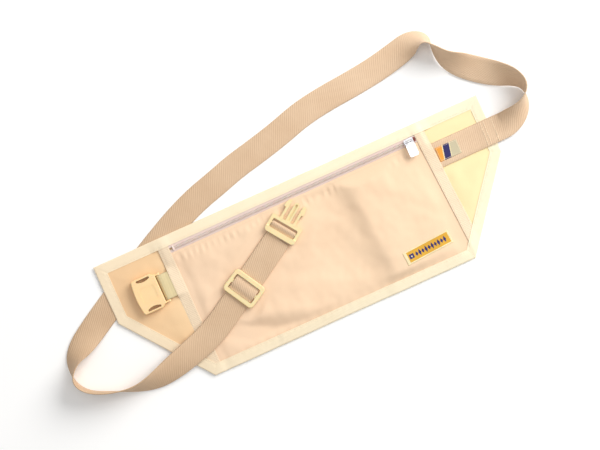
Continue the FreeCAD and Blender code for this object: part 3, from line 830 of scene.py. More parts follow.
@dataclass
class Strap:
    """The long free strap and the layers of webbing at its ends.

    Attributes:
        width: Webbing width.
        thickness: Webbing thickness.
        route: Centre line as x, y, z in millimetres, and the webbing's roll in degrees.
        length: Length of the free strap.
        line_yaw: Direction of the doubled stretch, in degrees.
        upper_z: Middle height of the upper layer where it meets the plug.
        lower_z: Middle height of the lower layer.
        reach_back: How far behind the plug's front bar its fold of webbing starts.
        stitch_rows: Where rows of stitches cross the strap's sewn end, in millimetres.
        parts: The pieces on the free strap.
        centres: Points along the free strap, once it is built.
    """

    width: float = 25 * MM
    thickness: float = 1.2 * MM
    route: tuple[tuple[float, float, float, float], ...] = (
        (197.4, 33.2, 2.55, 0), (205.0, 33.2, 2.8, 2), (213.0, 33.4, 4.6, 10), (226.0, 38.0, 8.8, 36),
        (237.5, 47.5, 12.9, 72), (242.0, 60.0, 13.3, 100), (235.0, 72.0, 11.5, 126), (222.0, 81.0, 7.2, 154),
        (208.0, 91.5, 4.8, 164), (194.0, 103.0, 7.6, 150), (183.5, 114.5, 12.2, 118), (178.5, 126.0, 13.3, 96),
        (174.8, 137.2, 12.8, 66), (161.5, 140.2, 7.2, 24), (144.0, 135.4, 2.0, 4), (120.0, 130.6, 0.8, 0),
        (94.0, 127.6, 0.7, 0), (67.0, 125.4, 0.7, 0), (40.0, 121.4, 0.7, 0), (13.0, 113.2, 0.7, 0),
        (-13.0, 107.0, 0.7, 0), (-37.0, 102.0, 0.7, 0), (-59.0, 95.2, 0.7, 0), (-81.0, 89.2, 0.7, 0),
        (-103.0, 80.8, 0.7, 0), (-127.0, 69.4, 0.7, 0), (-152.0, 56.4, 0.7, 0), (-178.0, 42.2, 0.7, 0),
        (-207.5, 25.5, 0.7, 0), (-225.0, 15.0, 2.7, 7), (-240.5, 5.5, 7.3, 28), (-252.5, -5.0, 12.6, 64),
        (-258.0, -21.0, 13.2, 90), (-249.0, -35.0, 13.2, 90), (-229.0, -44.0, 13.2, 90), (-207.0, -50.5, 13.0, 76),
        (-187.0, -51.0, 11.0, 48), (-168.0, -47.0, 9.4, 26), (-148.0, -41.4, 8.2, 10), (-126.0, -34.4, 6.5, 2),
        (-104.0, -23.5, 6.35, 0))
    length: float = 0.897
    line_yaw: float = 31.5
    upper_z: float = 6.3 * MM
    lower_z: float = 5.0 * MM
    reach_back: float = 16.85 * MM
    stitch_rows: tuple[float, ...] = (189.4, 192.6, 200.6)
    parts: list[Piece] = field(default_factory=list)
    centres: list[Vector] = field(default_factory=list)

    def end(self, plug: "Plug") -> Vector:
        """Where the free strap meets the plug's fold."""
        return plug.at(-self.reach_back - 0.2 * MM, 0, self.upper_z)

    def build_run(self, plug: "Plug") -> Piece:
        """Builds the long free strap.

        Args:
            plug: The buckle plug at its end.

        Returns:
            The strap.
        """
        centres = spline_points([Vector(p[:3]) * MM for p in self.route] + [self.end(plug)])
        rolls = [(math.radians(p[3]) * 0.1, 0, 0) for p in self.route] + [(0, 0, 0)]
        turned = [p.x / 0.1 for p in spline_points(rolls)]
        across = []
        for i, roll in enumerate(turned):
            along = (centres[min(i + 1, len(centres) - 1)] - centres[max(i - 1, 0)]).normalized()
            level = Vector((-along.y, along.x, 0)).normalized()
            up = along.cross(level)
            across.append(level * math.cos(roll) + up * math.sin(roll))
        self.centres = centres
        return make_webbing("strap_free_webbing", "strap_run", "pouch", centres, across, self.width, self.thickness)

    def declare(self, run: Piece) -> None:
        """Args:
            run: The strap; not used.
        """
        LOG.info("strap centre line %.4f m", travelled(self.centres)[-1])

    def layer_thickness(self) -> float:
        """Thickness of a layer that lies tight on another."""
        return self.thickness - 0.1 * MM

    def build_return(self, plug: "Plug", glide: "Glide") -> None:
        """Builds the doubled-back layer between the adjuster and the plug, starting at the adjuster.

        Args:
            plug: The buckle plug.
            glide: The strap adjuster.
        """
        yaw, steps, held = math.radians(self.line_yaw), 24, 4
        along = Vector((math.cos(yaw), math.sin(yaw), 0))
        start = Vector((*glide.centre, self.lower_z)) - along * 1.0 * MM
        long = (self.end(plug) - start).dot(along)
        centres = [start + along * (long * k / steps) for k in range(steps + 1)]
        piece = make_webbing("strap_return_webbing", "strap_return", "", centres, Vector((-along.y, along.x, 0)),
                             self.width - 0.4 * MM, self.layer_thickness())
        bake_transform(piece)
        self.parts.append(piece)

    def build_glide_fold(self, glide: "Glide") -> None:
        """Builds the rise of the webbing over the adjuster's middle bar.

        Args:
            glide: The strap adjuster.
        """
        bar_top = glide.base + glide.bar_height
        shape = [(-7.4, glide.base + 0.6 * MM), (-6.0, glide.base + 0.7 * MM), (-4.2, bar_top - 0.1 * MM),
                 (-2.6, bar_top + 0.55 * MM), (-1.0, bar_top + 0.78 * MM)]
        shape += [(-x, z) for x, z in reversed(shape)]
        centres = [Vector((*glide.at(x * MM, 0), z)) for x, z in shape]
        side = Vector((*glide.at(0, 1), 0)) - Vector((*glide.at(0, 0), 0))
        self.parts.append(make_webbing("glide_fold_webbing", "glide_web_fold", "glide", centres, side, self.width,
                                       self.layer_thickness()))

    def build_plug_fold(self, plug: "Plug") -> None:
        """Builds the webbing that turns round the plug's bar.

        Args:
            plug: The buckle plug.
        """
        bar, under = plug.bar_s, plug.rear + plug.rear_bar
        shape = [(-self.reach_back, self.lower_z), (bar - 3 * MM, self.lower_z)]
        shape += half_turn(bar, plug.bar_z, 1.85 * MM, 1)
        shape += [(bar - 1.4 * MM, plug.bar_z + 1.35 * MM), (under + 0.2 * MM, self.upper_z + 0.35 * MM),
                  (under - 1.0 * MM, self.upper_z), (-self.reach_back, self.upper_z)]
        centres = [plug.at(s, 0, z) for s, z in shape]
        side = plug.at(0, 1, 0) - plug.at(0, 0, 0)
        self.parts.append(make_webbing("plug_fold_webbing", "plug_web_fold", "plug", centres, side, self.width,
                                       self.layer_thickness()))

    def build_anchor(self, form: "PocketForm") -> None:
        """Builds the sewn end of the strap and the rows of stitches that hold it.

        Args:
            form: The pocket's form.
        """
        middle, thick = form.strap_line, self.thickness / 2
        lip = form.half_length - form.binding
        shape = [(x * MM, form.wing(x * MM, middle) + thick + 0.05 * MM) for x in range(138, 183, 4)]
        shape += [(lip - 1.5 * MM, 1.75 * MM), (lip + 1.0 * MM, 2.15 * MM), (lip + 4 * MM, 2.32 * MM),
                  (lip + 7 * MM, 2.46 * MM), (form.half_length + 0.4 * MM, 2.55 * MM)]
        centres = [Vector((x, middle, z)) for x, z in shape]
        self.parts.append(make_webbing("strap_sewn_webbing", "strap_anchor", "pouch", centres, Vector((0, 1, 0)),
                                       self.width, self.thickness))
        rows = Cut()
        far = [(x, z + thick) for x, z in shape] + [(0.206, 2.95 * MM + thick)]
        for x in self.stitch_rows:
            z = next(a[1] + (b[1] - a[1]) * (x * MM - a[0]) / (b[0] - a[0])
                     for a, b in zip(far, far[1:]) if b[0] >= x * MM)
            half = self.width / 2 - 0.8 * MM
            add_stitches(rows, [Vector((x * MM + k * 0.1 * MM, middle + half * k / 6, z + 0.06 * MM))
                                for k in range(-6, 7)], pitch=2.5 * MM, radius=0.3 * MM)
        self.parts.append(rows.finish("strap_stitching", ["thread"], "pouch", "strap_webbing"))


@dataclass(frozen=True)
class Plug:
    """Places on the buckle plug.

    Attributes:
        front: Middle of its front bar.
        yaw: Direction of its axis, in degrees.
        rear: Rear face along the axis.
        rear_bar: Rear bar's width.
        bar_s: Web bar along the axis.
        bar_z: Web bar's height.
    """

    front: Spot = (-14.2 * MM, 33.3 * MM)
    yaw: float = 35.5
    rear: float = -15.65 * MM
    rear_bar: float = 4.8 * MM
    bar_s: float = -6.25 * MM
    bar_z: float = 6.85 * MM

    def at(self, along: float, across: float, z: float) -> Vector:
        """A point given along and across the plug's axis."""
        c, s = math.cos(math.radians(self.yaw)), math.sin(math.radians(self.yaw))
        return Vector((self.front[0] + c * along - s * across, self.front[1] + s * along + c * across, z))

    def dress(self) -> None:
        """Gives the plug and its prongs their finish."""
        WARDROBE.dress("buckle", "buckle_plug", "plug_prong_left", "plug_prong_right")


@dataclass(frozen=True)
class Glide:
    """Places on the strap adjuster.

    Attributes:
        centre: Its middle.
        yaw: Direction of its short axis, in degrees.
        base: Height of its underside.
        bar_height: Height of its middle bar.
    """

    centre: Spot = (-76.0 * MM, -6.3 * MM)
    yaw: float = 29.5
    base: float = 7.15 * MM
    bar_height: float = 1.5 * MM

    def at(self, along: float, across: float) -> Spot:
        """A point given along and across the adjuster."""
        c, s = math.cos(math.radians(self.yaw)), math.sin(math.radians(self.yaw))
        return self.centre[0] + c * along - s * across, self.centre[1] + s * along + c * across

    def dress(self) -> None:
        """Gives the adjuster its finish."""
        WARDROBE.dress("buckle", "tri_glide")


@dataclass(frozen=True)
class Socket:
    """The buckle socket and the short loop that holds it.

    Attributes:
        bar_x: The web bar, along the pocket.
        line_y: The loop's centre line.
        bar_z: Height of the web bar.
        end_x: Where the loop goes under the seam tape.
        width: The loop's width.
        thickness: The loop's thickness.
    """

    bar_x: float = -144.4 * MM
    line_y: float = 26.0 * MM
    bar_z: float = 5.15 * MM
    end_x: float = -134.4 * MM
    width: float = 24.9 * MM
    thickness: float = 1.1 * MM

    def build(self) -> None:
        """Dresses the socket and builds its webbing loop."""
        WARDROBE.dress("socket", "buckle_socket")
        radius = 2.05 * MM
        shape = [(self.end_x, 3.0 * MM), (-138 * MM, 3.05 * MM), (-141.5 * MM, self.bar_z - radius)]
        shape += half_turn(self.bar_x, self.bar_z, radius, -1)
        shape += [(-142.6 * MM, 6.95 * MM), (-140.4 * MM, 5.8 * MM), (-138.2 * MM, 4.5 * MM),
                  (self.end_x, 4.15 * MM)]
        centres = [Vector((x, self.line_y, z)) for x, z in shape]
        make_webbing("socket_loop_webbing", "socket_web_loop", "pouch", centres, Vector((0, 1, 0)), self.width,
                     self.thickness, "loop")


# ---------------------------------------------------------------- pocket
@dataclass(frozen=True)
class Fold:
    """A soft ridge or hollow in the pocket's front.

    Attributes:
        start: One end, in millimetres.
        end: The other end.
        height: Height of its crest in millimetres; a hollow is negative.
        left: Width of its slope on the left of start to end.
        right: Width of its slope on the right.
    """

    start: Spot
    end: Spot
    height: float
    left: float
    right: float

    def at(self, x: float, y: float) -> float:
        """Height that it adds at a place, all in millimetres.

        Args:
            x: Place along the pocket.
            y: Place across it.

        Returns:
            The height.
        """
        ax, ay = self.start
        ux, uy = self.end[0] - ax, self.end[1] - ay
        long = math.hypot(ux, uy)
        along = ((x - ax) * ux + (y - ay) * uy) / long
        off = ((y - ay) * ux - (x - ax) * uy) / long
        width = self.left if off > 0 else self.right
        over = max(0.0, -along, along - long)
        return self.height * math.exp(-(off / width) ** 2 - (over / (0.25 * long + 6)) ** 2)


@dataclass(frozen=True)
class PocketForm:
    """Outline of the pocket and the height of each of its layers, in metres.

    Attributes:
        half_length: Middle to tip.
        half_height: Middle to top edge.
        end_low: Where each upright end meets its slanted edge.
        bottom_half: Half the straight bottom edge.
        binding: Visible width of the edge binding.
        seam_left: Centre line of the left seam tape.
        seam_right: Centre line of the right one at the middle height.
        seam_lean: Its lean, in degrees.
        seam_half: Half a seam tape's width.
        zip_line: Centre line of the zip.
        strap_line: Centre line of the sewn strap.
        socket_line: Centre line of the socket's loop.
        back_z: Height of the back cloth's upper face.
        free_strap: Middle of the adjuster on the strap's free end, in millimetres.
        free_yaw: Direction of the strap's free end, in degrees.
        lift: How far the left end is propped up by the strap under it.
        folds: Soft folds of the front.
    """

    half_length: float = 198 * MM
    half_height: float = 70 * MM
    end_low: float = 12 * MM
    bottom_half: float = 134.5 * MM
    binding: float = 10.4 * MM
    seam_left: float = -130.3 * MM
    seam_right: float = 137.2 * MM
    seam_lean: float = 3.1
    seam_half: float = 5.25 * MM
    zip_line: float = 56 * MM
    strap_line: float = 33.2 * MM
    socket_line: float = 26 * MM
    back_z: float = 0.85 * MM
    free_strap: Spot = (-76.0, -6.3)
    free_yaw: float = 32.5
    lift: float = 1.5 * MM
    folds: tuple[Fold, ...] = (
        Fold((55, 60), (64, -70), 4.4, 46, 12),
        Fold((26, 30), (20, -44), -0.9, 24, 18),
        Fold((-106, -34), (-50, -60), -2.8, 9, 16),
        Fold((-92, -30), (-38, -44), 1.8, 14, 9),
        Fold((-118, -6), (-100, -50), 1.3, 12, 18),
        Fold((-30, -22), (34, -48), 1.5, 9, 22),
        Fold((8, 20), (36, 10), 0.9, 8, 16),
        Fold((72, 40), (110, 4), 1.2, 20, 9),
        Fold((118, 34), (128, -36), -0.9, 8, 20),
        Fold((68, -34), (116, -6), 0.9, 18, 10),
        Fold((-62, -38), (-8, -60), 1.0, 8, 16),
        Fold((-112, 32), (-58, 38), 1.0, 18, 9),
        Fold((-66, 22), (-44, 40), 0.6, 8, 12),
    )

    def outline(self, inset: float) -> list[Spot]:
        """Corners of the outline moved in, counter-clockwise from the top left.

        Args:
            inset: How far it is moved in.

        Returns:
            The six corners.
        """
        x, y, low, half = self.half_length, self.half_height, self.end_low, self.bottom_half
        ring = [(-x, y), (-x, low), (-half, -y), (half, -y), (x, low), (x, y)]
        lines = []
        for (x0, y0), (x1, y1) in zip(ring, ring[1:] + ring[:1]):
            long = math.hypot(x1 - x0, y1 - y0)
            ux, uy = (x1 - x0) / long, (y1 - y0) / long
            lines.append((x0 - uy * inset, y0 + ux * inset, ux, uy))
        found = []
        for (ax, ay, au, av), (bx, by, bu, bv) in zip([lines[-1]] + lines[:-1], lines):
            t = ((bx - ax) * bv - (by - ay) * bu) / (au * bv - av * bu)
            found.append((ax + au * t, ay + av * t))
        return found

    def span(self, x: float, inset: float) -> Spot:
        """Lowest and highest y inside the outline at a place along the pocket.

        Args:
            x: The place.
            inset: How far the outline is moved in.

        Returns:
            Both values.
        """
        ring = self.outline(inset)
        (_, top), (x1, y1), (x2, y2) = ring[5], ring[4], ring[3]
        low = y2 if abs(x) <= x2 else y2 + (y1 - y2) * (abs(x) - x2) / (x1 - x2)
        return low, top

    def reach(self, y: float, inset: float) -> float:
        """Largest x inside the outline at a place across the pocket.

        Args:
            y: The place.
            inset: How far the outline is moved in.

        Returns:
            The value.
        """
        ring = self.outline(inset)
        (x1, y1), (x2, y2) = ring[4], ring[3]
        return x1 if y >= y1 else x2 + (x1 - x2) * max(0.0, y - y2) / (y1 - y2)

    def seam_x(self, side: int, y: float) -> float:
        """Centre of a seam tape at y; side is -1 for the left."""
        return self.seam_left if side < 0 else self.seam_right - y * math.tan(math.radians(self.seam_lean))

    def past_seam(self, x: float, y: float) -> float:
        """Distance from the nearer seam tape's centre line, towards the end of the pocket."""
        return x - self.seam_x(1, y) if x > 0 else self.seam_left - x

    def lift_at(self, x: float) -> float:
        """How far the pocket is propped up at x."""
        return self.lift * smooth(-55 * MM, -95 * MM, x)

    def inside_seam(self, x: float, y: float) -> float:
        """Distance from the nearer seam tape's inner edge, towards the middle of the pocket."""
        return -(self.past_seam(x, y) + self.seam_half)

    def off_zip(self, y: float) -> float:
        """Share from 0 beside the zip, where the layers are thickest, to 1 well away from it."""
        return smooth(9 * MM, 24 * MM, abs(y - self.zip_line))

    def sewn_line(self, x: float) -> float:
        """Centre line of the webbing that is sewn down at this end of the pocket."""
        return self.strap_line if x > 0 else self.socket_line

    def wing(self, x: float, y: float) -> float:
        """Height of the back cloth's upper face.

        Args:
            x: Place along the pocket.
            y: Place across it.

        Returns:
            The height.
        """
        low, top = self.span(x, self.binding)
        inside = smooth(0, 14 * MM, min(y - low, top - y, self.half_length - self.binding - abs(x)))
        clear = smooth(13.5 * MM, 22 * MM, abs(y - self.sewn_line(x)))
        shown = smooth(0, 12 * MM, self.past_seam(x, y))
        wave = 0.5 + 0.9 * rough_field(x, y, 26 * MM, 3.0) + 0.35 * rough_field(x, y, 9 * MM, 5.0)
        return self.lift_at(x) + self.back_z + 1.0 * MM * inside * clear * shown * max(0.0, wave)

    def sunk(self, x: float, y: float) -> float:
        """How far the seams pull the layers down at a place, away from the zip."""
        return 1.15 * MM * smooth(16 * MM, 0, self.inside_seam(x, y)) * self.off_zip(y)

    def front(self, x: float, y: float) -> float:
        """Height of the front cloth's upper face: its level, folds, crush, gathers at the zip and pulls at the hem.

        Args:
            x: Place along the pocket.
            y: Place across it.

        Returns:
            The height.
        """
        a, b = x / MM, y / MM
        above_hem, inward = b + (self.half_height - self.binding) / MM, self.inside_seam(x, y) / MM
        edge = smooth(0, 14, min(above_hem, inward))
        level = 3.62 + 0.30 * edge - self.sunk(x, y) / MM
        folds = sum(f.at(a, b) for f in self.folds) * smooth(0, 8, above_hem) * smooth(0, 14, inward)
        gather = 0.8 * math.sin(a / 1.05 + 3.0 * rough_field(x, y, 18 * MM, 9.0)) * bell(b - 45.5, 3.6)
        gather *= max(0.2, 0.8 + 0.9 * rough_field(x, 0, 15 * MM, 13.0))
        pulls = 0.16 * math.sin(a / 1.7 + 1.5 * rough_field(x, y, 14 * MM, 4.0)) * math.exp(-above_hem / 5)
        crush = 0.65 * rough_field(x, y, 17 * MM, 1.0) + 0.26 * rough_field(x, y, 7 * MM, 2.0)
        crush += 0.5 * rough_field(x, y, 40 * MM, 7.0)
        height = level + folds + crush * edge + gather + pulls
        ceiling = 4.18 + 5.5 * self.clear_of_strap(a, b)
        height = min(height, ceiling + 0.05 * math.tanh(height - ceiling))
        height = max(height, 1.0 + 2.78 * smooth(42, 49, b))
        return max(height * MM, self.lift_at(x) + 1.45 * MM)

    def clear_of_strap(self, a: float, b: float) -> float:
        """Room for folds to rise: 0 under the strap's free end and the zip's pull tab, 1 away from them.

        Args:
            a: Place along the pocket, in millimetres.
            b: Place across it, in millimetres.

        Returns:
            The share of room.
        """
        lean, right, up = math.radians(self.free_yaw), a - self.free_strap[0], b - self.free_strap[1]
        along = right * math.cos(lean) + up * math.sin(lean)
        off = abs(up * math.cos(lean) - right * math.sin(lean))
        return min(max(smooth(20, 34, off), smooth(96, 112, along)), smooth(49, 34, b))

    def tape(self, x: float, y: float) -> float:
        """Height of a seam tape's upper face, where it goes over the sewn webbing too.

        Args:
            x: Place along the pocket.
            y: Place across it.

        Returns:
            The height.
        """
        over = (1.25 if x > 0 else 2.4) * smooth(15.5 * MM, 12.8 * MM, abs(y - self.sewn_line(x)))
        past, away = self.past_seam(x, y), self.off_zip(y)
        even = min(1.0, max(0.0, 0.5 + 0.5 * past / self.seam_half))
        fall = smooth(0.2 * MM, 5.0 * MM, past) * (1 - away) + even * away
        outer = self.lift_at(x) + (1.27 + over + 0.8 * (1 - away)) * MM
        inner = 4.42 * MM - self.sunk(x, y)
        return inner + (outer - inner) * fall

    def under_lip(self, x: float, y: float) -> float:
        """Height of whatever the binding's upper lip lies on.

        Args:
            x: Place along the pocket.
            y: Place across it.

        Returns:
            The height.
        """
        past = self.past_seam(x, y)
        if past > self.seam_half:
            below = self.lift_at(x) + self.back_z
            return below + (self.tape(x, y) - below) * smooth(self.seam_half + 8 * MM, self.seam_half, past)
        if past > -self.seam_half - 2.5 * MM:
            share = smooth(-self.seam_half - 2.5 * MM, -self.seam_half, past)
            below = 3.70 * MM - self.sunk(x, y)
            return below + (self.tape(x, y) - below) * share
        return (3.82 if y > 0 else 3.70) * MM - self.sunk(x, y)


@dataclass(frozen=True)
class Binding:
    """The folded tape sewn over the pocket's edges.

    Attributes:
        form: The pocket's form.
        thickness: Tape thickness.
        stitch_in: Distance of the stitches from the edge.
        insets: Lines of the tape's mesh, as distances from the edge in millimetres.
        joins: Places along the bottom edge where one tape ends over the next.
    """

    form: PocketForm
    thickness: float = 0.4 * MM
    stitch_in: float = 8.7 * MM
    insets: tuple[float, ...] = (10.4, 10.3, 9.6, 8.9, 8.5, 7.8, 6.6, 5.0, 3.4, 2.0, 1.0, 0.45, 0.12)
    joins: tuple[float, ...] = (-64 * MM, 49 * MM)

    def top(self, x: float, y: float, inset: float, along: float) -> float:
        """Height of the upper face.

        Args:
            x: Place along the pocket.
            y: Place across it.
            inset: Distance from the outer edge.
            along: Distance along this side, for the puckers.

        Returns:
            The height.
        """
        form = self.form
        base = form.lift_at(x)
        inner = form.under_lip(x, y) + self.thickness + 0.04 * MM
        outer = base + (inner - base) * 0.70
        share = smooth(0, form.binding, inset)
        wave = math.sin(TURN * along / (7.4 * MM) + 2.5 * noise.noise(Vector((along / (21 * MM), y * 50, 1))))
        pucker = 0.13 * MM * wave * bell(inset - 7.2 * MM, 2.6 * MM)
        groove = -0.14 * MM * bell(inset - self.stitch_in, 0.7 * MM)
        round_off = -(outer - base) * 0.55 * (1 - smooth(0, 1.0 * MM, inset)) ** 2
        step = 0.0
        if y < -self.form.half_height + self.form.binding + 1 * MM:
            step = sum(0.28 * MM * smooth(-0.5 * MM, 0.5 * MM, x - j) * smooth(j + 22 * MM, j + 4 * MM, x)
                       for j in self.joins)
        return outer + (inner - outer) * share + pucker * share + groove + round_off + step

    def around(self, insets: Sequence[float]) -> list[tuple[float, bool]]:
        """Insets out to the edge on one lip, and back on the other."""
        return [(d, True) for d in insets] + [(d, False) for d in reversed(insets)]

    def build(self) -> None:
        """Builds the tape on all six sides and its stitches."""
        form, cut, seams = self.form, Cut(), Cut()
        around = [(d, upper, 0) for d, upper in self.around(self.insets)]
        around += [(d, not upper, self.thickness) for d, upper in self.around(self.insets[:-2])]
        rings = {d: form.outline(d * MM) for d in (*self.insets, self.stitch_in / MM)}
        for side in range(6):
            a, b = (Vector(form.outline(0)[(side + k) % 6]) for k in (0, 1))
            count = max(12, int((b - a).length / (2.2 * MM)))
            rows, cloth = [], []
            for i in range(count + 1):
                share = i / count
                row = [self.place(rings, side, share, *spot) for spot in around]
                rows.append(row)
                edge = travelled(row)
                cloth.append([(share * (b - a).length, e) for e in edge])
            cut.rows(rows, cloth, ring=True, capped=True)
            line = [self.place(rings, side, k / count, self.stitch_in / MM, True, -0.02 * MM)
                    for k in range(1, count)]
            add_stitches(seams, line)
        cut.finish("edge_binding_tape", ["binding"], "pouch", "binding_tape", ["edge_binding"])
        seams.finish("edge_binding_stitching", ["thread"], "pouch", "binding_tape")

    def place(self, rings: dict[float, list[Spot]], side: int, share: float, inset: float,
              upper: bool, depth: float) -> Vector:
        """One point of the tape.

        Args:
            rings: Corners of the outline at each inset, in millimetres.
            side: Which side of the pocket.
            share: Place along it, 0 to 1.
            inset: Distance from the edge, in millimetres.
            upper: Whether it is on the upper lip.
            depth: Distance below the tape's outer face.

        Returns:
            The point.
        """
        ring = rings[inset]
        a, b = Vector(ring[side]), Vector(ring[(side + 1) % 6])
        spot = a.lerp(b, share)
        along = share * (b - a).length
        wander = 0.22 * MM * rough_field(spot.x, spot.y, 28 * MM, 11.0) * smooth(0, 20, along / MM)
        inward = Vector((-(b - a).y, (b - a).x)).normalized() * (wander * smooth(0.0, 1.0, share * (1 - share) * 12))
        if upper:
            z = self.top(spot.x, spot.y, inset * MM, along) - depth
            near = min(along, (b - a).length - along)
            z -= (0.1 + 0.16 * smooth(5, 9, inset)) * MM * (1 - smooth(0, 1.1 * MM, near))
        else:
            base = self.form.lift_at(spot.x)
            z = base + depth + 0.28 * MM * (1 - smooth(0, 1.0, inset)) ** 2
        return Vector((spot.x + inward.x, spot.y + inward.y, z))


@dataclass(frozen=True)
class Pocket:
    """The pocket's cloth, seam tapes and their stitches.

    Attributes:
        form: The pocket's form.
        step: Size of the cloth's mesh.
        back_in: How far inside the outline the back cloth ends.
        seam_rows: The two rows of stitches on a seam tape, in millimetres from its middle.
        seam_lines: Lines of a seam tape's mesh, in millimetres from its middle.
    """

    form: PocketForm
    step: float = 2.0 * MM
    back_in: float = 4 * MM
    seam_rows: Spot = (-3.7, 3.7)
    seam_lines: tuple[float, ...] = (-5.25, -5.0, -4.2, -3.6, -2.4, -1.0, 0.4, 1.8, 3.0, 3.8, 4.6, 5.1, 5.25)

    def build_back(self) -> None:
        """Builds the back cloth, which is all there is at the two ends."""
        form, rows, cloth = self.form, [], []
        half, steps = form.half_length - self.back_in, 56
        count = int(2 * half / (2.5 * MM))
        for i in range(count + 1):
            x = -half + 2 * half * i / count
            low, top = form.span(x, self.back_in)
            ys = [low + (top - low) * k / steps for k in range(steps + 1)]
            rows.append([Vector((x, y, form.wing(x, y))) for y in ys])
            cloth.append([(x, y) for y in ys])
        cut = Cut()
        cut.rows(rows, cloth)
        back = cut.finish("pocket_back_cloth", ["lining"], "pouch", "lining_cloth", ["back_panel"])
        thicken(back, 0.38 * MM)

    def build_front(self) -> None:
        """Builds the front cloth, folded at the zip and tucked under the binding below."""
        form, rows, cloth = self.form, [], []
        left, top = form.seam_left - 1.0 * MM, form.zip_line - 3.6 * MM
        count = int((form.seam_right - left) / self.step)
        low, lip = -form.half_height + 2 * MM, -form.half_height + form.binding
        steps = int((top - low) / self.step)
        for i in range(count + 1):
            row, places = [], []
            for k in range(steps + 1):
                y = low + (top - 0.6 * MM - low) * k / steps
                right = min(form.seam_x(1, y) + 1.0 * MM, form.reach(y, form.binding - 2.5 * MM))
                x = left + (right - left) * i / count
                tucked = smooth(lip + 1 * MM, lip - 3 * MM, y)
                z = form.front(x, max(y, lip)) - 0.9 * MM * tucked
                if form.past_seam(x, y) > -form.seam_half - 1 * MM:
                    z = min(z, form.tape(x, y) - 0.5 * MM)
                row.append(Vector((x, y, z)))
                places.append((x, y))
            hem, x = row[-1].z, row[-1].x
            for y, drop in ((top - 0.15 * MM, 0.12), (top, 0.35), (top - 0.5 * MM, 0.50)):
                row.append(Vector((x, y, hem - drop * MM)))
                places.append((x, places[-1][1] + 0.5 * MM))
            rows.append(row)
            cloth.append(places)
        cut = Cut()
        cut.rows(rows, cloth)
        front = cut.finish("pocket_front_cloth", ["pocket"], "pouch", "pocket_cloth", ["front_panel"])
        thicken(front, 0.3 * MM)
        seam = Cut()
        add_stitches(seam, [Vector((x * MM, top - 1.9 * MM, form.front(x * MM, top - 1.9 * MM) + 0.04 * MM))
                            for x in range(-125, 126, 2)], pitch=3.0 * MM)
        seam.finish("zip_hem_stitching", ["thread"], "pouch", "pocket_cloth")

    def build_seam_tape(self, side: int) -> None:
        """Builds one seam tape and its two rows of stitches.

        Args:
            side: -1 for the left, 1 for the right.
        """
        form, cut, seams = self.form, Cut(), Cut()
        name, count, layer, ends = "left" if side < 0 else "right", 60, 0.34 * MM, form.binding - 1.6 * MM

        def point(share: float, offset: float, depth: float) -> Vector:
            """Finds a point of the tape.

            Args:
                share: Place along it, 0 to 1.
                offset: Distance from its middle, in millimetres.
                depth: Distance below its upper face.

            Returns:
                The point.
            """
            low, top = form.span(form.seam_x(side, 0) + side * offset * MM, ends)
            if side > 0:
                low, top = form.span(form.seam_x(side, low) + offset * MM, ends)
            y = low + (top - low) * share
            x = form.seam_x(side, y) + side * offset * MM
            groove = sum(bell(offset - line, 0.6) for line in self.seam_rows)
            wave = 0.10 * math.sin(TURN * y / (6.6 * MM) + 2 * rough_field(x, y, 20 * MM, 6.0))
            lip = 0.16 * MM * (smooth(5.25, 4.4, abs(offset)) - 1)
            z = form.tape(x, y) + lip + (wave * smooth(5.2, 1.5, abs(offset)) - 0.10 * groove) * MM
            return Vector((x, y, z - depth))

        rows, cloth = [], []
        for i in range(count + 1):
            row = [point(i / count, o, 0) for o in self.seam_lines]
            row += [point(i / count, o, layer) for o in reversed(self.seam_lines)]
            rows.append(row)
            cloth.append([(p.y, e) for p, e in zip(row, travelled(row))])
        cut.rows(rows, cloth, ring=True, capped=True)
        cut.finish(f"seam_tape_{name}_sewn", ["seam"], "pouch", "binding_tape", [f"seam_tape_{name}"])
        for offset in self.seam_rows:
            line = [point(0.02 + 0.96 * k / count, offset, -0.04 * MM) for k in range(count + 1)]
            add_stitches(seams, line)
        seams.finish(f"seam_tape_{name}_stitching", ["thread"], "pouch", "binding_tape")


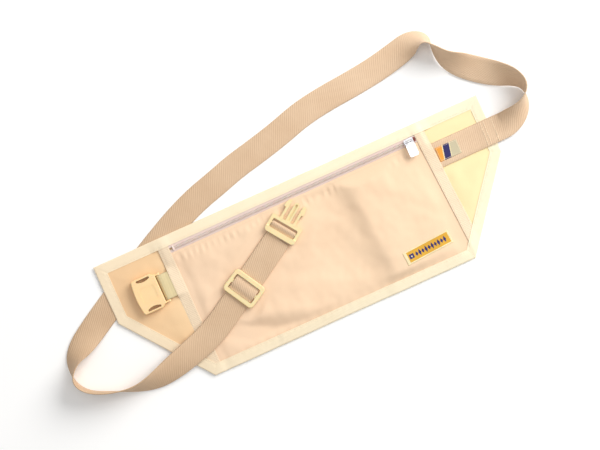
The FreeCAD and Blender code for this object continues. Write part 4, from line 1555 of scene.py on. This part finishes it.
@dataclass(frozen=True)
class Zip:
    """Zip tapes, coils and metal parts.

    Attributes:
        form: The pocket's form.
        pitch: Coil element spacing.
        tape_z: Height of the tapes' upper face.
        tape_ends: Left and right ends of the tapes.
        coil_ends: Left and right ends of the coils.
        upper: Lines of the upper tape's mesh, as distances from the zip's middle in millimetres.
        lower: The same for the lower tape.
        element: One turn of the coil, in millimetres: distance across, height over the tape, radius.
    """

    form: PocketForm
    pitch: float = 1.25 * MM
    tape_z: float = 3.8 * MM
    tape_ends: Spot = (-130.2 * MM, 133.4 * MM)
    coil_ends: Spot = (-120.0 * MM, 123.4 * MM)
    upper: tuple[float, ...] = (0.9, 1.2, 2.0, 3.0, 4.0, 6.0, 9.0)
    lower: tuple[float, ...] = (0.9, 1.2, 2.0, 3.0, 3.8, 5.0, 7.0)
    element: tuple[tuple[float, float, float], ...] = (
        (1.6, 0.32, 0.26), (1.52, 0.72, 0.30), (1.15, 0.97, 0.32), (0.5, 1.02, 0.33), (0.0, 0.9, 0.38),
        (-0.3, 0.62, 0.34), (-0.05, 0.32, 0.26))

    def build_tape(self, side: int) -> None:
        """Builds one tape.

        Args:
            side: 1 for the upper, -1 for the lower.
        """
        line, steps, (start, stop) = self.form.zip_line, 131, self.tape_ends
        rows, cloth = [], []
        for i in range(steps + 1):
            x = start + (stop - start) * i / steps
            row = []
            for a in self.upper if side > 0 else self.lower:
                ripple = 0.05 * math.sin(TURN * x / (9 * MM) + 3 * rough_field(x, a * MM, 20 * MM, 8.0))
                sink = 0.75 * smooth(2.9, 5.0, a) if side < 0 else 0.9 * smooth(3.4, 9.0, a)
                row.append(Vector((x, line + side * a * MM, self.tape_z + (ripple * smooth(0.9, 2, a) - sink) * MM)))
            rows.append(row if side > 0 else row[::-1])
            cloth.append([(p.x, p.y) for p in rows[-1]])
        name = "upper" if side > 0 else "lower"
        cut = Cut()
        cut.rows(rows, cloth)
        tape = cut.finish(f"zip_tape_{name}_woven", ["zip_tape"], "pouch", "zip_tape", [f"zip_tape_{name}"])
        thicken(tape, 0.3 * MM)

    def build_coil(self, side: int) -> None:
        """Builds one side's coil, element by element.

        Args:
            side: 1 for the upper, -1 for the lower.
        """
        line, cut, (first, last) = self.form.zip_line, Cut(), self.coil_ends
        for k in range(int((last - first) / self.pitch)):
            x = first + (k + (0.5 if side > 0 else 0.0)) * self.pitch
            rows, cloth = [], []
            for a, up, size in self.element:
                middle = Vector((x + 0.08 * MM * a * side, line + side * a * MM, self.tape_z + up * MM))
                rows.append(ring_of_six(middle, Vector((1, 0, 0)), Vector((0, 0, 1)), size * MM))
                cloth.append([(x, a * MM)] * 6)
            cut.rows(rows, cloth, ring=True, capped=True)
        name = "upper" if side > 0 else "lower"
        cut.finish(f"zip_coil_{name}_wound", ["coil"], "pouch", "zip_coil", [f"zip_coil_{name}"])

    def build(self) -> None:
        """Builds both sides and dresses the metal parts."""
        for side in (1, -1):
            self.build_tape(side)
            self.build_coil(side)
        for finish, node in (("slider", "zip_slider"), ("tab", "zip_pull_tab"), ("stop", "zip_top_stops"),
                             ("coil", "zip_bottom_stop")):
            WARDROBE.dress(finish, node)


# ---------------------------------------------------------------- labels
@dataclass(frozen=True)
class Label:
    """A small woven label with plain colour zones.

    Attributes:
        name: Name of the piece.
        node: CAD node that it stands for.
        centre: Its middle.
        size: Length and width.
        turn: Its turn in degrees.
        finishes: Keys of its finishes.
        zone: Zone at a place in the label, in millimetres from its middle.
        base: Height of what it is sewn to.
        cell: Size of the smallest patch of colour.
        seam_in: Distance of the stitches from the edge.
    """

    name: str
    node: str
    centre: Spot
    size: Spot
    turn: float
    finishes: tuple[str, ...]
    zone: Callable[[float, float], int]
    base: Height
    cell: float = 0.4 * MM
    seam_in: float = 0.9 * MM

    def build(self) -> None:
        """Builds the label and the stitches round it."""
        wide, high = (int(s / self.cell) for s in self.size)
        c, s = math.cos(math.radians(self.turn)), math.sin(math.radians(self.turn))

        def point(a: float, b: float, above: float) -> Vector:
            """Finds a point of the label from its middle, at a height above what it is sewn to."""
            x, y = self.centre[0] + c * a - s * b, self.centre[1] + s * a + c * b
            return Vector((x, y, self.base(x, y) + above))

        rows, cloth = [], []
        for i in range(wide + 1):
            a = self.size[0] * (i / wide - 0.5)
            places = [self.size[1] * (j / high - 0.5) for j in range(high + 1)]
            row = []
            for b in places:
                rim = min(self.size[0] / 2 - abs(a), self.size[1] / 2 - abs(b))
                curl = 0.12 * MM * rough_field(a, b, 8 * MM, 12.0)
                row.append(point(a, b, (0.42 - 0.22 * (1 - smooth(0, 0.5 * MM, rim))) * MM + curl))
            rows.append(row)
            cloth.append([(a, b) for b in places])
        cut = Cut()
        cut.rows(rows, cloth, zone=lambda i, j: self.zone(
            *(((k + 0.5) * self.cell - size / 2) / MM for k, size in zip((i, j), self.size))))
        label = cut.finish(self.name, list(self.finishes), "pouch", "label_cloth", [self.node])
        thicken(label, 0.3 * MM)
        seam = Cut()
        a, b = (size / 2 - self.seam_in for size in self.size)
        corners = [(-a, -b), (a, -b), (a, b), (-a, b), (-a, -b)]
        for (a0, b0), (a1, b1) in zip(corners, corners[1:]):
            add_stitches(seam, [point(a0 + (a1 - a0) * k / 12, b0 + (b1 - b0) * k / 12, 0.46 * MM)
                                for k in range(13)], pitch=2.0 * MM, radius=0.16 * MM, gap=0.4 * MM)
        seam.finish(f"{self.name}_stitching", ["thread"], "pouch", "label_cloth")


def front_zone(a: float, b: float) -> int:
    """Zones of the front label: pale border, gold field, and a navy square with a row of lozenges.

    Args:
        a: Place along the label, in millimetres from its middle.
        b: Place across it.

    Returns:
        0 for pale, 1 for gold, 2 for navy.
    """
    if a < -20.6 or a > 22.4 or abs(b) > 4.9:
        return 0
    if abs(a + 17.2) < 2.3 and abs(b) < 2.3:
        return 0 if abs(a + 17.2) + abs(b) < 0.9 else 2
    if -13.5 < a < 19.5:
        step = (a + 13.5) % 3.3 - 1.65
        tall = 3.3 if int((a + 13.5) / 3.3) % 2 else 2.3
        if abs(step) / 1.45 + abs(b) / tall < 1:
            return 2
    return 1


def strap_zone(a: float, b: float) -> int:
    """Zones of the strap label: slanted orange, cream and navy stripes on a grey field.

    Args:
        a: Place along the label, in millimetres from its middle.
        b: Place across it.

    Returns:
        0 for orange, 1 for pale, 2 for navy, 3 for grey.
    """
    place = a - 0.22 * b
    for limit, zone in ((-5.6, 0), (-4.6, 1), (1.6, 2), (2.4, 1)):
        if place < limit:
            return zone
    return 3


def build_labels(form: PocketForm) -> None:
    """Builds both labels.

    Args:
        form: The pocket's form.
    """
    Label("front_label_woven", "front_label", (97 * MM, -42.5 * MM), (48 * MM, 13 * MM), 3.5,
          ("pale", "gold", "navy"), front_zone, form.front).build()
    Label("strap_label_woven", "strap_label", (152.4 * MM, 33 * MM), (22 * MM, 14 * MM), 0.0,
          ("orange", "pale", "navy", "grey"), strap_zone, lambda x, y: 2.1 * MM).build()


# ---------------------------------------------------------------- the whole belt
def main() -> None:
    """Builds the belt, piece by piece."""
    logging.basicConfig(level=logging.INFO, format="%(name)s %(message)s")
    Studio().build()
    plug, glide, form, strap = Plug(), Glide(), PocketForm(), Strap()
    run = strap.build_run(plug)
    strap.build_return(plug, glide)
    strap.build_glide_fold(glide)
    strap.build_plug_fold(plug)
    strap.build_anchor(form)
    strap.declare(run)
    plug.dress()
    glide.dress()
    Binding(form).build()
    pocket = Pocket(form)
    pocket.build_back()
    pocket.build_front()
    for side in (-1, 1):
        pocket.build_seam_tape(side)
    Zip(form).build()
    Socket().build()
    build_labels(form)


if __name__ == "__main__":
    main()
